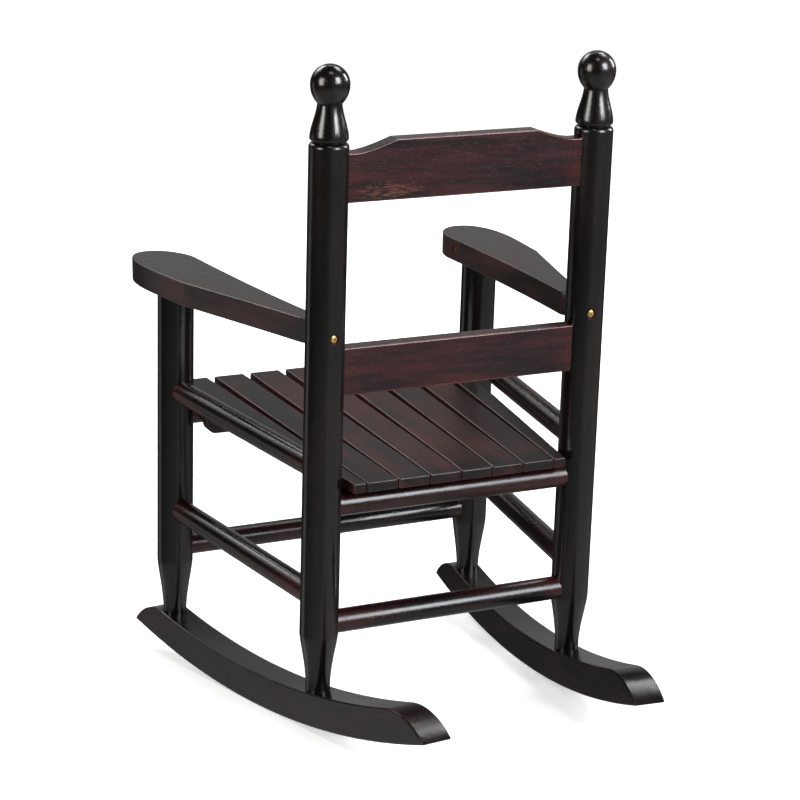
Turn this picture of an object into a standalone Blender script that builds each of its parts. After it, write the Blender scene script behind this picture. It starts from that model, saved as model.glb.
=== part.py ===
"""A child's slat-seat rocking chair with turned posts, dowel rails and two curved rockers.

Sizes are in metres, +Z is up, the sitter faces -Y and the sitter's left is +X. The origin is on the
floor under the middle of the chair. The posts, rails, seat and arms are drawn upright and square in a
frame that leans back as one, about the point where the rockers touch the floor. Heights named below
are measured along the posts from that point.
"""

import math

import bmesh
import bpy
from mathutils import Vector

# Rockers: two arcs of one radius, cut from board, ending in a nose that curves down to a sharp toe
ROCKER_RADIUS = 1.053
ROCKER_DEPTH = 0.0295
ROCKER_THICKNESS = 0.028
ROCKER_REAR_REACH = 0.2765
ROCKER_FRONT_REACH = 0.2325
ROCKER_NOSE_RADIUS = 0.064
ROCKER_FACET = 0.0216
SHORTEST_FACET = 0.2
NOSE_STEPS = 6

# The upright frame and its lean, which brings the chair's weight over the rocking point
LEAN = math.radians(7.0)
REAR_POST_BACK = 0.0841
POST_SPACING = 0.2614
REAR_POST_X = 0.1225
FRONT_POST_X = 0.1556

# Posts, turned from one piece with their feet and finials
POST_RADIUS = 0.0167
POST_ABOVE_CREST = 0.0091
BALL_RADIUS = 0.0163
BALL_DROP = 0.0198
BALL_ABOVE_NECK = 0.0162
NECK_LENGTH = 0.0258
NECK_RADIUS = 0.0103
NECK_SWELL = 0.5
BELL_RADIUS = 0.0161
BELL_HEIGHT = 0.0049
BELL_LIP = 0.0017
BELL_LIP_INSET = 0.0003
GROOVE_WIDTH = 0.0007
SHOULDER_ROUND = 0.004
REAR_TAPER_HEIGHT = 0.0973
FRONT_TAPER_HEIGHT = 0.0767
REAR_TAPER_LENGTH = 0.044
FRONT_TAPER_LENGTH = 0.051
TAPER_SWELL = 0.6
TAPER_EASE = 0.8
FOOT_RADIUS = 0.0107
FOOT_TENON = 0.018
POST_STEPS = 24
TAPER_POINTS = 8
BALL_TOP_POINTS = 6
BALL_UNDER_POINTS = 4
BELL_POINTS = 5
SHOULDER_POINTS = 2

# Dowel rails and stretchers
DOWEL_RADIUS = 0.0103
DOWEL_EMBED = 0.018
SIDE_RAIL_HEIGHT = 0.2430
REAR_SEAT_RAIL_WEB = 0.0108
FRONT_SEAT_RAIL_WEB = 0.0040
SIDE_STRETCHER_HEIGHT = 0.1276
REAR_STRETCHER_WEB = 0.0018
FRONT_STRETCHER_WEB = 0.0179
DOWEL_SIDES = 24

# Back rails, flat boards let into the rear posts
RAIL_THICKNESS = 0.015
RAIL_EMBED = 0.009
RAIL_EDGE = 0.0012
CREST_BOTTOM_HEIGHT = 0.4725
CREST_END_WIDTH = 0.0412
CREST_RISE = 0.0096
CREST_FLAT_HALF = 0.065
CREST_COVE = 0.035
CREST_COVE_POWER = 1.4
CREST_COVE_POINTS = 6
LOWER_RAIL_BOTTOM_HEIGHT = 0.3091
LOWER_RAIL_WIDTH = 0.0411

# Seat slats, fanned between the posts, and the two battens that carry them
SLATS_A_SIDE = 4
SLAT_THICKNESS = 0.009
SLAT_EDGE = 0.0011
SLAT_REAR_OVERHANG = 0.0185
SLAT_FRONT_OVERHANG = 0.0306
SLAT_REAR_SPACE = 0.0006
SEAT_REAR_GAP = 0.0026
SEAT_FRONT_GAP = 0.0048
OUTER_SLAT_REAR_WIDTH = 0.0114
OUTER_SLAT_FRONT_WIDTH = 0.0250
SEAT_LIFT_REAR = 0.0038
SEAT_LIFT_FRONT = 0.0028
BATTEN_THICKNESS = 0.012
BATTEN_WIDTH = 0.028
BATTEN_CORNER = 0.010
BATTEN_CORNER_POINTS = 4
BATTEN_END_GAP = 0.010

# Armrests, paddles that widen from a shaved neck at the rear post to a round front end
ARM_AXIS_HEIGHT = 0.3606
ARM_SLOPE = math.radians(1.95)
ARM_THICKNESS = 0.0214
ARM_EDGE = 0.0012
ARM_NECK_INNER = 0.0102
ARM_NECK_OUTER = 0.0068
ARM_INNER_WIDTH = 0.0284
ARM_OUTER_WIDTH = 0.0318
ARM_INNER_POWER = 1.55
ARM_OUTER_POWER = 1.08
ARM_FLARE_LENGTH = 0.177
ARM_FRONT_OVERHANG = 0.0615
ARM_TIP_INNER = 0.045
ARM_TIP_OUTER = 0.080
ARM_TIP_OUTER_POWER = 2.3
ARM_SIDE_POINTS = 8
ARM_TIP_POINTS = 7
ARM_NIB_RADIUS = 0.0095
ARM_NIB_TAPER = 0.35
ARM_NIB_SIDES = 20
ARM_TENON_RADIUS = 0.006
ARM_TENON_LENGTH = 0.009
POST_TENON_RADIUS = 0.010
POST_TENON_LENGTH = 0.013
POST_SINK = 0.0008

# Wood screws: a countersunk head with a cross recess, set below the surface in a counterbore
ARM_SCREW_HEAD_RADIUS = 0.0034
ARM_SCREW_HEAD = 0.0024
ARM_SCREW_SHANK_RADIUS = 0.0018
ARM_SCREW_SINK = 0.0014
ARM_COUNTERBORE_RADIUS = 0.0047
ARM_REAR_SCREW_LENGTH = 0.050
ARM_FRONT_SCREW_LENGTH = 0.030
FRAME_SCREW_HEAD_RADIUS = 0.0030
FRAME_SCREW_HEAD = 0.0022
FRAME_SCREW_SHANK_RADIUS = 0.0015
ROCKER_SCREW_SINK = 0.0045
ROCKER_SCREW_BITE = 0.022
SLAT_SCREW_SINK = 0.0035
SLAT_SCREW_BITE = 0.0055
BATTEN_SCREW_SINK = 0.0005
BATTEN_SCREW_BITE = 0.011
SCREW_POINT = 0.004
SCREW_RIM = 0.25
RECESS_REACH = 0.62
RECESS_WIDTH = 0.24
RECESS_DEPTH = 0.5
RECESS_TURN = math.radians(5)
ARM_SCREW_SIDES = 16
FRAME_SCREW_SIDES = 8

# Clearance between a piece and what it fits in or rests on, and the reach of a cutter past a wall
FIT = 0.0003
CUTTER_REACH = 0.020

# Points nearer than this are one point; edges sharper than these angles are eased or shaded sharp
WELD = 0.000001
EASED_ANGLE = math.radians(50)
SHARP_ANGLE = math.radians(40)

# Finishes, as linear red, green, blue, with roughness and metallic
FINISHES = {
    "post_lacquer": ((0.012, 0.010, 0.010), 0.22, 0.0),
    "rail_lacquer": ((0.040, 0.016, 0.017), 0.32, 0.0),
    "dowel_lacquer": ((0.022, 0.010, 0.010), 0.26, 0.0),
    "slat_lacquer": ((0.045, 0.030, 0.030), 0.38, 0.0),
    "arm_lacquer": ((0.040, 0.031, 0.029), 0.34, 0.0),
    "rocker_lacquer": ((0.026, 0.019, 0.018), 0.26, 0.0),
    "batten_lacquer": ((0.018, 0.010, 0.010), 0.45, 0.0),
    "brass": ((0.60, 0.42, 0.16), 0.30, 1.0),
    "zinc": ((0.50, 0.50, 0.48), 0.35, 1.0),
}

SIDES = {"left": 1, "right": -1}

# Sizes that follow from those above
FRONT_POST_BACK = REAR_POST_BACK - POST_SPACING
TOE = math.atan2(FRONT_POST_X - REAR_POST_X, POST_SPACING)
POST_DISTANCE = math.hypot(FRONT_POST_X - REAR_POST_X, POST_SPACING)
REAR_SEAT_RAIL_HEIGHT = SIDE_RAIL_HEIGHT - 2 * DOWEL_RADIUS - REAR_SEAT_RAIL_WEB
FRONT_SEAT_RAIL_HEIGHT = SIDE_RAIL_HEIGHT - 2 * DOWEL_RADIUS - FRONT_SEAT_RAIL_WEB
REAR_STRETCHER_HEIGHT = SIDE_STRETCHER_HEIGHT - 2 * DOWEL_RADIUS - REAR_STRETCHER_WEB
FRONT_STRETCHER_HEIGHT = SIDE_STRETCHER_HEIGHT - 2 * DOWEL_RADIUS - FRONT_STRETCHER_WEB
SHOULDER_LEVEL = CREST_BOTTOM_HEIGHT + CREST_END_WIDTH + POST_ABOVE_CREST
BELL_LEVEL = SHOULDER_LEVEL + BELL_HEIGHT
NECK_LEVEL = BELL_LEVEL + NECK_LENGTH
BALL_LEVEL = NECK_LEVEL + BALL_ABOVE_NECK
SEAT_UNDER_REAR = REAR_SEAT_RAIL_HEIGHT + DOWEL_RADIUS + SEAT_LIFT_REAR
SEAT_UNDER_FRONT = FRONT_SEAT_RAIL_HEIGHT + DOWEL_RADIUS + SEAT_LIFT_FRONT
SEAT_SLOPE = math.atan2(SEAT_UNDER_FRONT - SEAT_UNDER_REAR, POST_SPACING)
ARM_TIP = POST_DISTANCE + ARM_FRONT_OVERHANG
ARM_START = POST_RADIUS + FIT


def clear_scene():
    for obj in list(bpy.data.objects):
        bpy.data.objects.remove(obj, do_unlink=True)


def make_collection(name):
    collection = bpy.data.collections.new(name)
    bpy.context.scene.collection.children.link(collection)
    return collection


def make_finish(name):
    colour, roughness, metallic = FINISHES[name]
    material = bpy.data.materials.new(name)
    material.use_nodes = True
    shader = material.node_tree.nodes["Principled BSDF"]
    shader.inputs["Base Color"].default_value = (*colour, 1.0)
    shader.inputs["Roughness"].default_value = roughness
    shader.inputs["Metallic"].default_value = metallic
    material.diffuse_color = (*colour, 1.0)
    return material


def make_empty(name, parent, location, rotation):
    empty = bpy.data.objects.new(name, None)
    chair.objects.link(empty)
    empty.parent = parent
    empty.location = location
    empty.rotation_euler = rotation
    return empty


def place(name, mesh, finish, parent, location=(0, 0, 0), rotation=(0, 0, 0)):
    """A visible piece of the chair."""
    obj = bpy.data.objects.new(name, mesh)
    chair.objects.link(obj)
    if not mesh.materials:
        mesh.materials.append(finishes[finish])
    obj.parent = parent
    obj.location = location
    obj.rotation_euler = rotation
    return obj


def place_cutter(name, mesh, parent, location=(0, 0, 0), rotation=(0, 0, 0)):
    """A shape that only cuts or trims the pieces."""
    obj = bpy.data.objects.new(name, mesh)
    cutters.objects.link(obj)
    obj.hide_render = True
    obj.display_type = "WIRE"
    obj.parent = parent
    obj.location = location
    obj.rotation_euler = rotation
    return obj


def combine(target, cutter, operation="DIFFERENCE"):
    modifier = target.modifiers.new(f"{operation} {cutter.name}", "BOOLEAN")
    modifier.operation = operation
    modifier.solver = "EXACT"
    modifier.object = cutter


def ease_edges(obj, width):
    modifier = obj.modifiers.new("Eased edges", "BEVEL")
    modifier.width = width
    modifier.segments = 1
    modifier.limit_method = "ANGLE"
    modifier.angle_limit = EASED_ANGLE


def evaluated_mesh(obj, name):
    """The object's mesh with its modifiers, or its curve's surface, welded and shaded smooth."""
    bpy.context.view_layer.update()
    graph = bpy.context.evaluated_depsgraph_get()
    mesh = bpy.data.meshes.new_from_object(obj.evaluated_get(graph))
    mesh.name = name
    shape = bmesh.new()
    shape.from_mesh(mesh)
    bmesh.ops.remove_doubles(shape, verts=shape.verts, dist=WELD)
    bmesh.ops.recalc_face_normals(shape, faces=shape.faces)
    shape.to_mesh(mesh)
    shape.free()
    mesh.shade_smooth()
    mesh.set_sharp_from_angle(angle=SHARP_ANGLE)
    return mesh


def baked(obj, name):
    """evaluated_mesh, after which the helper object is removed."""
    mesh = evaluated_mesh(obj, name)
    bpy.data.objects.remove(obj, do_unlink=True)
    return mesh


def board(name, outline, thickness):
    """A flat outline, in X and Y, with half its thickness on each side of it."""
    curve = bpy.data.curves.new(name, "CURVE")
    curve.dimensions = "2D"
    curve.fill_mode = "BOTH"
    curve.extrude = thickness / 2
    spline = curve.splines.new("POLY")
    spline.points.add(len(outline) - 1)
    for point, (x, y) in zip(spline.points, outline):
        point.co = (x, y, 0, 1)
    spline.use_cyclic_u = True
    helper = bpy.data.objects.new(name, curve)
    bpy.context.scene.collection.objects.link(helper)
    return baked(helper, name)


def turned(name, profile, steps):
    """A profile of (radius, height) points, from top to bottom, turned about Z."""
    mesh = bpy.data.meshes.new(name)
    points = [(radius, 0, height) for radius, height in profile]
    mesh.from_pydata(points, [(i, i + 1) for i in range(len(points) - 1)], [])
    helper = bpy.data.objects.new(name, mesh)
    bpy.context.scene.collection.objects.link(helper)
    screw = helper.modifiers.new("Turn", "SCREW")
    screw.steps = steps
    screw.render_steps = steps
    screw.use_merge_vertices = True
    screw.merge_threshold = WELD
    return baked(helper, name)


def rod(name, radius, length, sides):
    """A cylinder along Z, centred on the origin."""
    mesh = bpy.data.meshes.new(name)
    shape = bmesh.new()
    bmesh.ops.create_cone(
        shape, cap_ends=True, segments=sides, radius1=radius, radius2=radius, depth=length
    )
    shape.to_mesh(mesh)
    shape.free()
    mesh.shade_smooth()
    mesh.set_sharp_from_angle(angle=SHARP_ANGLE)
    return mesh


def block(name, size):
    """A box centred on the origin."""
    mesh = bpy.data.meshes.new(name)
    shape = bmesh.new()
    bmesh.ops.create_cube(shape, size=1.0)
    bmesh.ops.scale(shape, vec=size, verts=shape.verts)
    shape.to_mesh(mesh)
    shape.free()
    return mesh


def post_meets_rocker(post_back, arc_radius):
    """Height at which a post's axis, (post_back) behind the rocking point, meets a rocker arc."""
    sine, cosine = math.sin(LEAN), math.cos(LEAN)
    along = 1 / math.cos(TOE) ** 2
    above = ROCKER_RADIUS + post_back * sine
    a = along * sine**2 + cosine**2
    b = 2 * along * post_back * cosine * sine - 2 * above * cosine
    c = along * (post_back * cosine) ** 2 + above**2 - arc_radius**2
    return (-b - math.sqrt(b * b - 4 * a * c)) / (2 * a)


def rocker_top_height(post_back):
    return post_meets_rocker(post_back, ROCKER_RADIUS - ROCKER_DEPTH)


def rocker_bottom_height(post_back):
    return post_meets_rocker(post_back, ROCKER_RADIUS)


def arc_point(radius, angle):
    """A point of an arc about the rocker's centre, as (distance behind the rocking point, height)."""
    return radius * math.sin(angle), ROCKER_RADIUS - radius * math.cos(angle)


def facet_angles(first, last):
    """Facet corners between two angles, spaced so that one facet lies level on the floor."""
    step = ROCKER_FACET / ROCKER_RADIUS
    lowest = math.ceil(first / step - 0.5)
    highest = math.floor(last / step - 0.5)
    corners = [(i + 0.5) * step for i in range(lowest, highest + 1)]
    shortest = SHORTEST_FACET * step
    inside = [angle for angle in corners if first + shortest < angle < last - shortest]
    return [first, *inside, last]


def nose_points(tip, direction):
    """The convex end of a rocker, from its sharp toe up to where it meets the top arc."""
    centre_radius = ROCKER_RADIUS - ROCKER_DEPTH + ROCKER_NOSE_RADIUS
    spread = math.acos(
        (ROCKER_RADIUS**2 + centre_radius**2 - ROCKER_NOSE_RADIUS**2)
        / (2 * ROCKER_RADIUS * centre_radius)
    )
    centre_angle = tip - direction * spread
    cx, cz = arc_point(centre_radius, centre_angle)
    tx, tz = arc_point(ROCKER_RADIUS, tip)
    start = math.atan2(tz - cz, tx - cx)
    ex, ez = arc_point(ROCKER_RADIUS - ROCKER_DEPTH, centre_angle)
    end = math.atan2(ez - cz, ex - cx)
    points = []
    for i in range(1, NOSE_STEPS):
        angle = start + (end - start) * i / NOSE_STEPS
        points.append(
            (cx + ROCKER_NOSE_RADIUS * math.cos(angle), cz + ROCKER_NOSE_RADIUS * math.sin(angle))
        )
    return points, centre_angle


def rocker_outline():
    """The rocker seen from its side, round from the front toe along the bottom and back on top."""
    rear = math.asin(ROCKER_REAR_REACH / ROCKER_RADIUS)
    front = -math.asin(ROCKER_FRONT_REACH / ROCKER_RADIUS)
    rear_nose, rear_top = nose_points(rear, 1)
    front_nose, front_top = nose_points(front, -1)
    bottom = facet_angles(front, rear)
    corner_radius = ROCKER_RADIUS / math.cos(ROCKER_FACET / ROCKER_RADIUS / 2)
    outline = [arc_point(ROCKER_RADIUS, front)]
    outline += [arc_point(corner_radius, angle) for angle in bottom[1:-1]]
    outline += [arc_point(ROCKER_RADIUS, rear), *rear_nose]
    top = facet_angles(front_top, rear_top)
    outline += [arc_point(ROCKER_RADIUS - ROCKER_DEPTH, angle) for angle in reversed(top)]
    outline += reversed(front_nose)
    return outline


def rocker_offset():
    """How far from the middle a rocker passes the level of the rocking point."""
    middle = post_meets_rocker(REAR_POST_BACK, ROCKER_RADIUS - ROCKER_DEPTH / 2)
    foot_back = REAR_POST_BACK * math.cos(LEAN) + middle * math.sin(LEAN)
    return REAR_POST_X + foot_back * math.tan(TOE)


def make_rockers():
    mesh = board("rocker", rocker_outline(), ROCKER_THICKNESS)
    rockers = {}
    for side, sign in SIDES.items():
        rockers[side] = place(
            f"rocker_{side}",
            mesh,
            "rocker_lacquer",
            floor_point,
            (sign * rocker_offset(), 0, 0),
            (math.pi / 2, 0, math.pi / 2 + sign * TOE),
        )
    return rockers


def foot_profile(taper_height, taper_length, end_height):
    """The tapered foot of a post, from the full radius down to the end of its tenon."""
    points = []
    for i in range(TAPER_POINTS + 1):
        t = i / TAPER_POINTS
        drop = TAPER_SWELL * (1 - math.cos(math.pi * t**TAPER_EASE)) / 2 + (1 - TAPER_SWELL) * t
        radius = POST_RADIUS - (POST_RADIUS - FOOT_RADIUS) * drop
        points.append((radius, taper_height - taper_length * t))
    points.append((FOOT_RADIUS, end_height))
    points.append((0, end_height))
    return points


def finial_profile():
    """The ball, the bell-shaped neck and the rounded shoulder on top of a rear post."""
    points = [(0, BALL_LEVEL + BALL_RADIUS)]
    for i in range(1, BALL_TOP_POINTS + 1):
        angle = math.pi / 2 * i / BALL_TOP_POINTS
        points.append((BALL_RADIUS * math.sin(angle), BALL_LEVEL + BALL_RADIUS * math.cos(angle)))
    last = math.acos(NECK_RADIUS / BALL_RADIUS)
    for i in range(1, BALL_UNDER_POINTS + 1):
        angle = last * i / BALL_UNDER_POINTS
        points.append((BALL_RADIUS * math.cos(angle), BALL_LEVEL - BALL_DROP * math.sin(angle)))
    for i in range(BELL_POINTS + 1):
        t = i / BELL_POINTS
        swell = t + NECK_SWELL * ((1 - math.cos(math.pi * t)) / 2 - t)
        radius = NECK_RADIUS + (BELL_RADIUS - NECK_RADIUS) * swell
        points.append((radius, NECK_LEVEL - NECK_LENGTH * t))
    groove_radius = POST_RADIUS - SHOULDER_ROUND
    points.append((BELL_RADIUS - BELL_LIP_INSET, BELL_LEVEL - BELL_LIP))
    points.append((groove_radius, SHOULDER_LEVEL + GROOVE_WIDTH))
    for i in range(SHOULDER_POINTS + 1):
        angle = math.pi / 2 * i / SHOULDER_POINTS
        radius = groove_radius + SHOULDER_ROUND * math.sin(angle)
        points.append((radius, SHOULDER_LEVEL - SHOULDER_ROUND * (1 - math.cos(angle))))
    return points


def foot_end(post_back):
    return rocker_top_height(post_back) - FOOT_TENON


def arm_underside(distance):
    """Height of the arm's underside at a distance in front of the rear post's axis."""
    return ARM_AXIS_HEIGHT - distance * math.tan(ARM_SLOPE) - ARM_THICKNESS / 2 / math.cos(ARM_SLOPE)


def front_shoulder_height():
    return arm_underside(POST_DISTANCE) + POST_SINK


def front_tenon_height():
    return front_shoulder_height() + POST_TENON_LENGTH


def make_posts():
    rear_mesh = turned(
        "rear_post",
        finial_profile() + foot_profile(REAR_TAPER_HEIGHT, REAR_TAPER_LENGTH, foot_end(REAR_POST_BACK)),
        POST_STEPS,
    )
    front_top = [
        (0, front_tenon_height()),
        (POST_TENON_RADIUS, front_tenon_height()),
        (POST_TENON_RADIUS, front_shoulder_height()),
        (POST_RADIUS, front_shoulder_height()),
    ]
    front_mesh = turned(
        "front_post",
        front_top + foot_profile(FRONT_TAPER_HEIGHT, FRONT_TAPER_LENGTH, foot_end(FRONT_POST_BACK)),
        POST_STEPS,
    )
    posts = {}
    for side, sign in SIDES.items():
        posts["rear", side] = place(
            f"rear_post_{side}",
            rear_mesh,
            "post_lacquer",
            leaning_frame,
            (sign * REAR_POST_X, REAR_POST_BACK, 0),
        )
        posts["front", side] = place(
            f"front_post_{side}",
            front_mesh,
            "post_lacquer",
            leaning_frame,
            (sign * FRONT_POST_X, FRONT_POST_BACK, 0),
        )
    return posts


def seat_feet(posts, rockers):
    """Blind holes in the rockers for the feet of the posts."""
    for (row, side), post in posts.items():
        back = REAR_POST_BACK if row == "rear" else FRONT_POST_BACK
        depth = FOOT_TENON + FIT + CUTTER_REACH
        hole = place_cutter(
            f"foot hole {row} {side}",
            rod("foot hole", FOOT_RADIUS + FIT, depth, POST_STEPS),
            leaning_frame,
            (post.location.x, post.location.y, foot_end(back) - FIT + depth / 2),
        )
        combine(rockers[side], hole)


def add_dowel(name, start, end, posts):
    """A dowel between the axes of two posts, let into a blind hole in each."""
    inset = POST_RADIUS - DOWEL_EMBED
    length = (end - start).length - 2 * inset
    middle = (start + end) / 2
    turn = (end - start).to_track_quat("Z", "Y").to_euler()
    mesh = rod(name, DOWEL_RADIUS, length, DOWEL_SIDES)
    place(name, mesh, "dowel_lacquer", leaning_frame, middle, turn)
    hole_mesh = rod(f"{name} hole", DOWEL_RADIUS + FIT, length + 2 * FIT, DOWEL_SIDES)
    hole = place_cutter(f"{name} hole", hole_mesh, leaning_frame, middle, turn)
    for post in posts:
        combine(post, hole)


def make_dowels(posts):
    for side, sign in SIDES.items():
        rear, front = posts["rear", side], posts["front", side]
        for name, height in (
            ("side_seat_rail", SIDE_RAIL_HEIGHT),
            ("side_stretcher", SIDE_STRETCHER_HEIGHT),
        ):
            add_dowel(
                f"{name}_{side}",
                Vector((sign * REAR_POST_X, REAR_POST_BACK, height)),
                Vector((sign * FRONT_POST_X, FRONT_POST_BACK, height)),
                (rear, front),
            )
    for name, row, x, back, height in (
        ("rear_seat_rail", "rear", REAR_POST_X, REAR_POST_BACK, REAR_SEAT_RAIL_HEIGHT),
        ("front_seat_rail", "front", FRONT_POST_X, FRONT_POST_BACK, FRONT_SEAT_RAIL_HEIGHT),
        ("rear_stretcher", "rear", REAR_POST_X, REAR_POST_BACK, REAR_STRETCHER_HEIGHT),
        ("front_stretcher", "front", FRONT_POST_X, FRONT_POST_BACK, FRONT_STRETCHER_HEIGHT),
    ):
        add_dowel(
            name,
            Vector((-x, back, height)),
            Vector((x, back, height)),
            (posts[row, "right"], posts[row, "left"]),
        )


def crest_outline(half_length):
    """A flat top that drops in a cove to narrower ends."""
    end_top = CREST_BOTTOM_HEIGHT + CREST_END_WIDTH
    right = []
    for i in range(CREST_COVE_POINTS + 1):
        t = i / CREST_COVE_POINTS
        drop = (1 - t) ** CREST_COVE_POWER
        right.append((CREST_FLAT_HALF + CREST_COVE * t, end_top + CREST_RISE * drop))
    right.append((half_length, end_top))
    right.append((half_length, CREST_BOTTOM_HEIGHT))
    return right + [(-x, z) for x, z in reversed(right)]


def lower_rail_outline(half_length):
    top = LOWER_RAIL_BOTTOM_HEIGHT + LOWER_RAIL_WIDTH
    return [
        (half_length, top),
        (half_length, LOWER_RAIL_BOTTOM_HEIGHT),
        (-half_length, LOWER_RAIL_BOTTOM_HEIGHT),
        (-half_length, top),
    ]


def make_back_rails(posts):
    half_length = REAR_POST_X - POST_RADIUS + RAIL_EMBED
    upright = (math.pi / 2, 0, 0)
    for name, outline, bottom, width in (
        ("crest_rail", crest_outline(half_length), CREST_BOTTOM_HEIGHT, CREST_END_WIDTH),
        (
            "lower_back_rail",
            lower_rail_outline(half_length),
            LOWER_RAIL_BOTTOM_HEIGHT,
            LOWER_RAIL_WIDTH,
        ),
    ):
        rail = place(
            name,
            board(name, outline, RAIL_THICKNESS),
            "rail_lacquer",
            leaning_frame,
            (0, REAR_POST_BACK, 0),
            upright,
        )
        ease_edges(rail, RAIL_EDGE)
        size = (2 * (half_length + FIT), RAIL_THICKNESS + 2 * FIT, width + 2 * FIT)
        mortise = place_cutter(
            f"{name} mortise",
            block(f"{name} mortise", size),
            leaning_frame,
            (0, REAR_POST_BACK, bottom + width / 2),
        )
        for side in SIDES:
            combine(posts["rear", side], mortise)


def seat_ends():
    """The Y of the slats' rear and front ends, in the leaning frame."""
    return REAR_POST_BACK + SLAT_REAR_OVERHANG, FRONT_POST_BACK - SLAT_FRONT_OVERHANG


def seat_half_width(y):
    """Half the seat's width, which clears the rear and the front posts."""
    rear = REAR_POST_X - POST_RADIUS - SEAT_REAR_GAP
    front = FRONT_POST_X - POST_RADIUS - SEAT_FRONT_GAP
    return rear + (front - rear) * (REAR_POST_BACK - y) / POST_SPACING


def slat_edges():
    """For each slat of one side, from the middle out, its inner and outer edge at rear and front."""
    rear_y, front_y = seat_ends()
    rear_half, front_half = seat_half_width(rear_y), seat_half_width(front_y)
    inner_slats = SLATS_A_SIDE - 1
    rear_pitch = (rear_half - OUTER_SLAT_REAR_WIDTH - SLAT_REAR_SPACE / 2) / inner_slats
    front_room = (front_half - OUTER_SLAT_FRONT_WIDTH) / inner_slats
    width = min(rear_pitch, front_room) - SLAT_REAR_SPACE
    front_pitch = (front_half - OUTER_SLAT_FRONT_WIDTH + width / 2) / (inner_slats + 0.5)
    slats = []
    for i in range(inner_slats):
        rear_middle = (i + 0.5) * rear_pitch
        front_middle = (i + 0.5) * front_pitch
        slats.append(
            (
                (rear_middle - width / 2, rear_middle + width / 2),
                (front_middle - width / 2, front_middle + width / 2),
            )
        )
    slats.append(
        (
            (rear_half - OUTER_SLAT_REAR_WIDTH, rear_half),
            (front_half - OUTER_SLAT_FRONT_WIDTH, front_half),
        )
    )
    return slats


def slat_centre(slat, y):
    """Middle of a slat at a given Y."""
    rear_y, front_y = seat_ends()
    (rear_inner, rear_outer), (front_inner, front_outer) = slat
    t = (rear_y - y) / (rear_y - front_y)
    return ((rear_inner + rear_outer) * (1 - t) + (front_inner + front_outer) * t) / 2


def make_slats():
    """Slats 1 to 8, from the sitter's left to the right, with the Y axis at the rear posts."""
    rear_y, front_y = seat_ends()
    stretch = 1 / math.cos(SEAT_SLOPE)
    rear_end = (rear_y - REAR_POST_BACK) * stretch
    front_end = (front_y - REAR_POST_BACK) * stretch
    edges = slat_edges()
    order = [(1, slat) for slat in reversed(edges)] + [(-1, slat) for slat in edges]
    slats = []
    for number, (sign, slat) in enumerate(order, start=1):
        (rear_inner, rear_outer), (front_inner, front_outer) = slat
        outline = [
            (sign * rear_inner, rear_end),
            (sign * rear_outer, rear_end),
            (sign * front_outer, front_end),
            (sign * front_inner, front_end),
        ]
        name = f"seat_slat_{number}"
        obj = place(
            name,
            board(name, outline, SLAT_THICKNESS),
            "slat_lacquer",
            leaning_frame,
            (0, REAR_POST_BACK, SEAT_UNDER_REAR + SLAT_THICKNESS / 2),
            (-SEAT_SLOPE, 0, 0),
        )
        ease_edges(obj, SLAT_EDGE)
        slats.append((obj, sign, slat))
    return slats


def seat_underside(y):
    return SEAT_UNDER_REAR + (REAR_POST_BACK - y) * math.tan(SEAT_SLOPE)


def side_rail_inside(y):
    """X of the side seat rail's inner surface at a given Y."""
    axis = REAR_POST_X + (REAR_POST_BACK - y) * math.tan(TOE)
    return axis - DOWEL_RADIUS / math.cos(TOE)


def batten_outline(half_length):
    """A straight board on edge whose two lower corners are rounded."""
    outline = [(half_length, BATTEN_WIDTH / 2)]
    for i in range(BATTEN_CORNER_POINTS + 1):
        angle = -math.pi / 2 * i / BATTEN_CORNER_POINTS
        outline.append(
            (
                half_length - BATTEN_CORNER + BATTEN_CORNER * math.cos(angle),
                -BATTEN_WIDTH / 2 + BATTEN_CORNER + BATTEN_CORNER * math.sin(angle),
            )
        )
    return outline + [(-x, z) for x, z in reversed(outline)]


def batten_place(row):
    """The Y of a batten's middle, and the height of its top, just under the slats."""
    away = DOWEL_RADIUS + FIT + BATTEN_THICKNESS / 2
    y = REAR_POST_BACK - away if row == "rear" else FRONT_POST_BACK + away
    edges = (y - BATTEN_THICKNESS / 2, y + BATTEN_THICKNESS / 2)
    return y, min(seat_underside(edge) for edge in edges) - FIT


def make_battens():
    battens = {}
    for row in ("rear", "front"):
        y, top = batten_place(row)
        half_length = side_rail_inside(y) - BATTEN_END_GAP
        name = f"seat_batten_{row}"
        battens[row] = place(
            name,
            board(name, batten_outline(half_length), BATTEN_THICKNESS),
            "batten_lacquer",
            leaning_frame,
            (0, y, top - BATTEN_WIDTH / 2),
            (math.pi / 2, 0, 0),
        )
    return battens


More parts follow.
